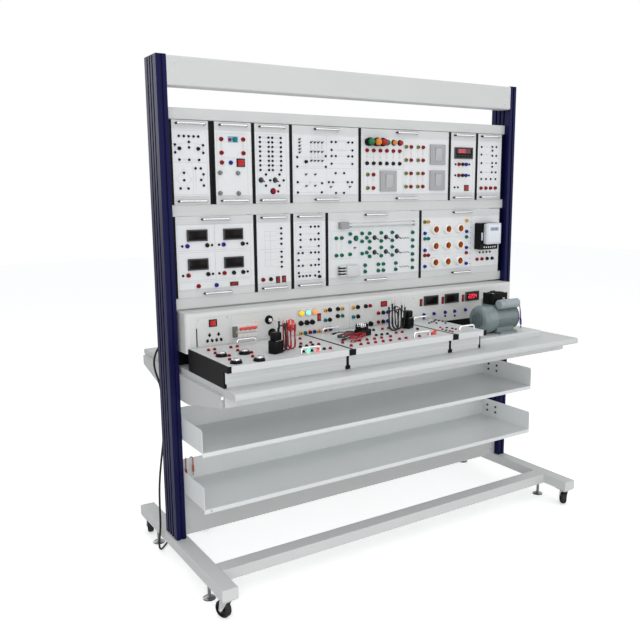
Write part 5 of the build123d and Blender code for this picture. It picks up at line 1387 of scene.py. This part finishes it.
# Mains breaker: a white moulded block of four poles with a red toggle on each, tied by a bar,
# and a grey residual-current part at its left.
breaker_white = finish("breaker_white", shade(228, 228, 224), 0.32, coat=0.2)
dress("mains_breaker", breaker_white)
levers = smooth_copy("breaker_lever", stop_red, 40)
breaker_low, breaker_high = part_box("mains_breaker")
levers.data.materials.append(breaker_white)
hub = Vector((0, breaker_low.y + 0.006, (breaker_low.z + breaker_high.z) / 2))
for face in levers.data.polygons:
    if math.hypot(face.center.y - hub.y, face.center.z - hub.z) < 0.0086:
        face.material_index = 1
breaker_trim = [(slab((breaker_low.x + 0.002, breaker_low.y - 0.006, breaker_low.z + 0.004),
                      (breaker_low.x + 0.022, breaker_low.y + 0.001, breaker_high.z - 0.003),
                      0.0012), unturned)]
for rib in range(4):
    rib_z = breaker_low.z + 0.009 + rib * 0.0095
    breaker_trim.append((slab((breaker_low.x + 0.004, breaker_low.y - 0.0085, rib_z),
                              (breaker_low.x + 0.013, breaker_low.y - 0.005, rib_z + 0.005),
                              0.0006), unturned))
place_piece("residual_block", together("residual", breaker_trim), unturned,
            finish("residual_grey", shade(104, 106, 108), 0.35))
place_piece("test_button",
            slab((breaker_low.x + 0.0145, breaker_low.y - 0.008, breaker_low.z + 0.020),
                 (breaker_low.x + 0.0195, breaker_low.y - 0.005,
                  breaker_low.z + 0.028),
                 0.0008), unturned, terminal_finish["amber"])
pole_lines = []
for pole in range(1, 5):
    x = breaker_low.x + 0.027 + pole * 0.019
    if x < breaker_high.x - 0.003:
        pole_lines += [(x, breaker_high.z - 0.014, x, breaker_high.z - 0.001),
                       (x, breaker_low.z + 0.001, x, breaker_low.z + 0.014)]
printed("pole_lines", pole_lines, 0.0008, breaker_low.y - 0.0002, print_grey)
small_lamp = turned(((0, 0), (0.0022, 0), (0.0022, 0.0015), (0.0014, 0.0026), (0, 0.0030)), 10)
repeat("breaker_lamp_red", small_lamp, [(-0.538, console_face, 0.9405)], facing_front, lit_red)
repeat("breaker_lamp_amber", small_lamp.copy(), [(-0.526, console_face, 0.9405)], facing_front,
       lamp_colours["yellow"])


# Console terminals and lamps: three lit lenses in chromed collars, black fuse holders and
# coloured terminals in rows, as on the panels.
console_spots = {
    "amber": [(-341, 875), (-257, 875), (-225, 955), (-144, 955), (-91, 955)],
    "teal": [(-320, 875), (-226, 916), (-90, 916)],
    "green": [(-144, 926)],
    "red": [(-298, 875), (-226, 877), (-6, 955), (37, 920), (37, 882)],
    "blue": [(-278, 875), (86, 920), (86, 882), (284, 889), (341, 889), (406, 889), (462, 889),
             (527, 889)],
    "black": [(-205, 956), (-166, 956), (-167, 927), (-205, 916), (-203, 879),
              (-68, 955), (-28, 955),
              (-67, 916), (-70, 877), (-27, 876), (62, 920), (62, 882)],
}
core_spots = []
for colour, spots in console_spots.items():
    spots = [(x / 1000, console_face, z / 1000) for x, z in spots]
    core_spots += spots
    repeat("console_terminals_" + colour, large_terminal, spots, facing_front,
           terminal_finish[colour],
           size=1.08 if colour == "black" else 0.95)
repeat("console_terminal_cores", hole_shade_cap, core_spots, facing_front, hole_shade_dark)
holder_spots = [(x, console_face, 0.915) for x in (-0.340, -0.313, -0.288)]
holder_spots.append((-0.003, console_face, 0.879))
fuse_holder = turned(((0, 0), (0.0105, 0), (0.0105, 0.003), (0.0088, 0.004), (0.0084, 0.011),
                      (0.0076, 0.012), (0.0030, 0.012), (0.0026, 0.0108), (0, 0.0108)), 20)
repeat("fuse_holders", fuse_holder, holder_spots, facing_front, switch_black)
repeat("meter_jacks", small_jack,
       [(x, console_face, z) for x, z in ((0.284, 0.874), (0.407, 0.872), (0.464, 0.868))],
       facing_front, terminal_finish["black"])
for colour, x in (("yellow", -0.340), ("white", -0.309), ("amber", -0.279)):
    spot = [(x, console_face, 0.955)]
    repeat("console_lamp_" + colour, lens.copy(), spot, facing_front, lamp_colours[colour],
           size=0.86)
    repeat("console_collar_" + colour, collar.copy(), spot, facing_front, chrome,
           size=0.86)


# Component boxes: three folded lids over open trays, with black moulded end plates and bar
# handles on top. The motor's stand is a low tray of the same sheet.
box_coat = finish("box_coat", shade(211, 213, 213), 0.38, grain=0.03)
dress("component_boxes", box_coat)
smooth_copy("box_end_plates", black_plastic, 30)
bar_chrome = finish("bar_chrome", (0.78, 0.79, 0.8), 0.16, 1.0)
smooth_copy("box_handles", bar_chrome, 60)
box_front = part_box("component_boxes")[0].y
seams = []
for left, right in ((-0.815, -0.326), (-0.326, 0.163), (0.163, 0.326)):
    for z in (box_top - 0.0070, box_top - 0.0150):
        seams.append((left + 0.016, z, right - 0.016, z))
body_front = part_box("component_boxes")[0].y + 0.032
body_seams = [(left + 0.016, box_top - drop, right - 0.016, box_top - drop)
              for left, right in ((-0.815, -0.326), (-0.326, 0.163), (0.163, 0.326))
              for drop in (0.030, 0.046, 0.062)]
printed("box_body_lines", body_seams, 0.0008, body_front - 0.0002,
        finish("body_seam_grey", shade(188, 190, 191), 0.4))
printed("box_front_lines", seams, 0.0007, box_front - 0.0002,
        finish("seam_grey", shade(196, 198, 199), 0.4))
box_spots = {
    "red": [(-763, -109), (-740, -110), (-764, -169), (-765, -231), (-740, -232), (-765, -288),
            (-677, -111), (-651, -110), (-679, -172), (-681, -236), (-654, -230), (-680, -290),
            (-389, -115), (-436, -200), (-394, -201), (-386, -244), (-389, -327),
            (-104, -125), (-10, -131), (21, -130), (-297, -269), (-258, -274), (-225, -275),
            (-191, -276),
            (-158, -278), (-123, -276), (-80, -276), (-302, -332), (-259, -332), (-226, -332),
            (-194, -334), (-160, -335), (-127, -337), (-83, -335), (-51, -334),
            (-16, -229), (13, -230),
            (61, -272), (15, -334)],
    "black": [(-464, -244), (-438, -244), (-412, -244), (-466, -325), (-439, -324), (-413, -324),
              (-498, -323), (-79, -127), (-54, -130), (-110, -224), (-85, -226), (-58, -227),
              (106, -212)],
}
for colour, spots in box_spots.items():
    spots = [(x / 1000, y / 1000, box_top) for x, y in spots]
    repeat("box_terminals_" + colour, large_terminal, spots, facing_up, terminal_finish[colour],
           size=0.82)
box_jacks = {
    "black": [(236, -131), (260, -119), (282, -109), (261, -149), (309, -109), (312, -130),
              (292, -171),
              (308, -90), (183, -298), (230, -282), (224, -255)],
    "red": [(185, -273), (186, -316), (232, -300), (182, -336), (206, -236)],
}
for colour, spots in box_jacks.items():
    repeat("box_jacks_" + colour, small_jack,
           [(x / 1000, y / 1000, box_top) for x, y in spots], facing_up,
           terminal_finish[colour], size=1.1)


# Box knobs and lamps: four black dials with chromed caps, two small lit lamps and one orange
# toggle lever.
dial_spots = [(x / 1000, y / 1000, box_top) for x, y in ((-763, -218), (-680, -227), (-766, -340),
                                                         (-686, -350))]
dial_spots = [(x, max(y, -0.352), z) for x, y, z in dial_spots]
dial = turned(((0, 0), (0.0205, 0), (0.0205, 0.0050), (0.0185, 0.0060), (0.0180, 0.0115),
               (0, 0.0115)), 36)
for number, vertex in enumerate(dial.vertices):
    if vertex.co.z > 0.0055 and round(math.atan2(vertex.co.y, vertex.co.x) * 18 / math.pi) % 2:
        vertex.co.x *= 0.965
        vertex.co.y *= 0.965
dial_cap = turned(((0, 0.0112), (0.0165, 0.0112), (0.0165, 0.0150), (0.0150, 0.0164),
                   (0.0105, 0.0170),
                   (0.0060, 0.0162), (0, 0.0160)), 28)
repeat("box_dials", dial, dial_spots, facing_up, switch_black)
repeat("box_dial_caps", dial_cap, dial_spots, facing_up, chrome)
lit_green = glowing("lit_green", shade(70, 255, 170), 4.0)
bright_red = glowing("bright_red", shade(255, 60, 60), 3.0)
repeat("box_lamp_green", lens.copy(), [(-0.476, -0.321, box_top)], facing_up, lit_green,
       size=0.42)
repeat("box_lamp_red", lens.copy(), [(-0.451, -0.338, box_top)], facing_up, bright_red,
       size=0.36)
lever_base = slab((-0.016, -0.010, 0), (0.016, 0.010, 0.004), 0.0012)
lever_stem = turned(((0, 0), (0.0045, 0), (0.0040, 0.006), (0.0030, 0.012), (0.0055, 0.016),
                     (0.0065, 0.020), (0.0045, 0.0245), (0, 0.026)), 14)
lever_tilt = Matrix.Translation((0, 0, 0.004)) @ Matrix.Rotation(math.radians(66), 4, "Y")
place_piece("box_lever", together("lever", [(lever_base, unturned), (lever_stem, lever_tilt)]),
            Matrix.Translation((0.085, -0.324, box_top)),
            finish("lever_orange", shade(214, 62, 26), 0.35))


# Relay block: a small black contactor with silvered blades, left beside the lying leads.
# Its body is moulded plastic.
relay_place = (Matrix.Translation((-0.150, -0.190, box_top))
               @ Matrix.Rotation(math.radians(14), 4, "Z"))
relay = [(slab((-0.030, -0.020, 0), (0.030, 0.020, 0.026), 0.004, 3), unturned),
         (slab((-0.026, -0.016, 0.025), (0.014, 0.016, 0.034), 0.002), unturned)]
for fin in range(4):
    relay.append((slab((-0.024 + fin * 0.011, -0.0175, 0.020),
                       (-0.021 + fin * 0.011, 0.0175, 0.037),
                       0.0006), unturned))
place_piece("relay_block", together("relay", relay), relay_place, switch_black)
blades = []
for row_y in (-0.010, 0.010):
    for column in range(3):
        x = -0.0185 + column * 0.011
        blades.append((slab((x - 0.0030, row_y - 0.0005, 0.033),
                            (x + 0.0030, row_y + 0.0005, 0.0475),
                            0.0003), unturned))
        blades.append((slab((x - 0.0034, row_y - 0.0034, 0.0335),
                            (x + 0.0034, row_y + 0.0034, 0.0375),
                            0.0008), unturned))
place_piece("relay_blades", together("blades", blades), relay_place,
            finish("blade_silver", (0.85, 0.85, 0.84), 0.2, 1.0))


# Contactor blocks: two black moulded bodies with stepped tops, ridged sides and screw
# terminals, standing by the leads that are wired to them.
def contactor(name, x, y, turn, wide, deep, tall):
    place = Matrix.Translation((x, y, box_top)) @ Matrix.Rotation(math.radians(turn), 4, "Z")
    body = [(slab((-wide / 2, -deep / 2, 0), (wide / 2, deep / 2, tall * 0.62), 0.0025), unturned),
            (slab((-wide * 0.36, -deep / 2 + 0.003, tall * 0.6),
                  (wide * 0.36, deep / 2 - 0.003, tall), 0.003),
             unturned)]
    for rib in range(5):
        rib_x = -wide / 2 + 0.004 + rib * (wide - 0.010) / 4
        body.append((slab((rib_x, -deep / 2 - 0.0016, 0.008),
                          (rib_x + 0.003, deep / 2 + 0.0016, tall * 0.56),
                          0.0006), unturned))
        body.append((slab((rib_x * 0.7, -deep / 2 + 0.0015, tall * 0.66),
                          (rib_x * 0.7 + 0.0022, deep / 2 - 0.0015, tall * 0.94), 0.0006),
                     unturned))
    place_piece(name, together("contactor", body), place, switch_black)
    screws = []
    for rib in range(4):
        screw_x = -wide / 2 + 0.0100 + rib * (wide - 0.010) / 4
        for side in (-1, 1):
            seat = Matrix.Translation((screw_x - 0.001, side * (deep / 2 - 0.0015), tall * 0.615))
            screws.append((pan_head, seat @ Matrix.Scale(0.62, 4)))
    place_piece(name + "_screws", together("screws", screws), place, nickel)


contactor("contactor_left", -0.583, -0.278, 20, 0.044, 0.034, 0.074)
contactor("contactor_right", 0.096, -0.162, 25, 0.044, 0.034, 0.072)


# Motor: cast housing with cooling ribs on two feet, a pressed fan cowl, a steel shaft, and a
# terminal box and capacitor on top. Blue-grey paint covers all but the shaft and the box.
motor_paint = finish("motor_paint", shade(116, 130, 133), 0.3, grain=0.08, coat=0.5, stain=0.84)
motor_light = finish("motor_light", shade(150, 160, 164), 0.34, grain=0.05, coat=0.2)
smooth_copy("motor_housing", motor_paint, 38)
smooth_copy("motor_cowl", motor_paint, 38)
smooth_copy("motor_rotor", steel, 38)
smooth_copy("motor_terminal_box", black_plastic, 38)
smooth_copy("motor_capacitor", motor_light, 38)
tbox_low, tbox_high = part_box("motor_terminal_box")
repeat("motor_box_screws", pan_head,
       [(x, y, tbox_high.z - 0.0006) for x in (tbox_low.x + 0.010, tbox_high.x - 0.010)
        for y in (tbox_low.y + 0.010, tbox_high.y - 0.010)], facing_up, steel)
lid_ribs = [(slab((tbox_low.x + 0.018, tbox_low.y + 0.012 + rib * 0.0105, tbox_high.z - 0.0004),
                  (tbox_high.x - 0.018, tbox_low.y + 0.0155 + rib * 0.0105, tbox_high.z + 0.0012),
                  0.0005),
             unturned) for rib in range(4)]
place_piece("motor_box_ribs", together("ribs", lid_ribs), unturned, black_plastic)


# Finally the scene is brought up to date.
bpy.context.view_layer.update()
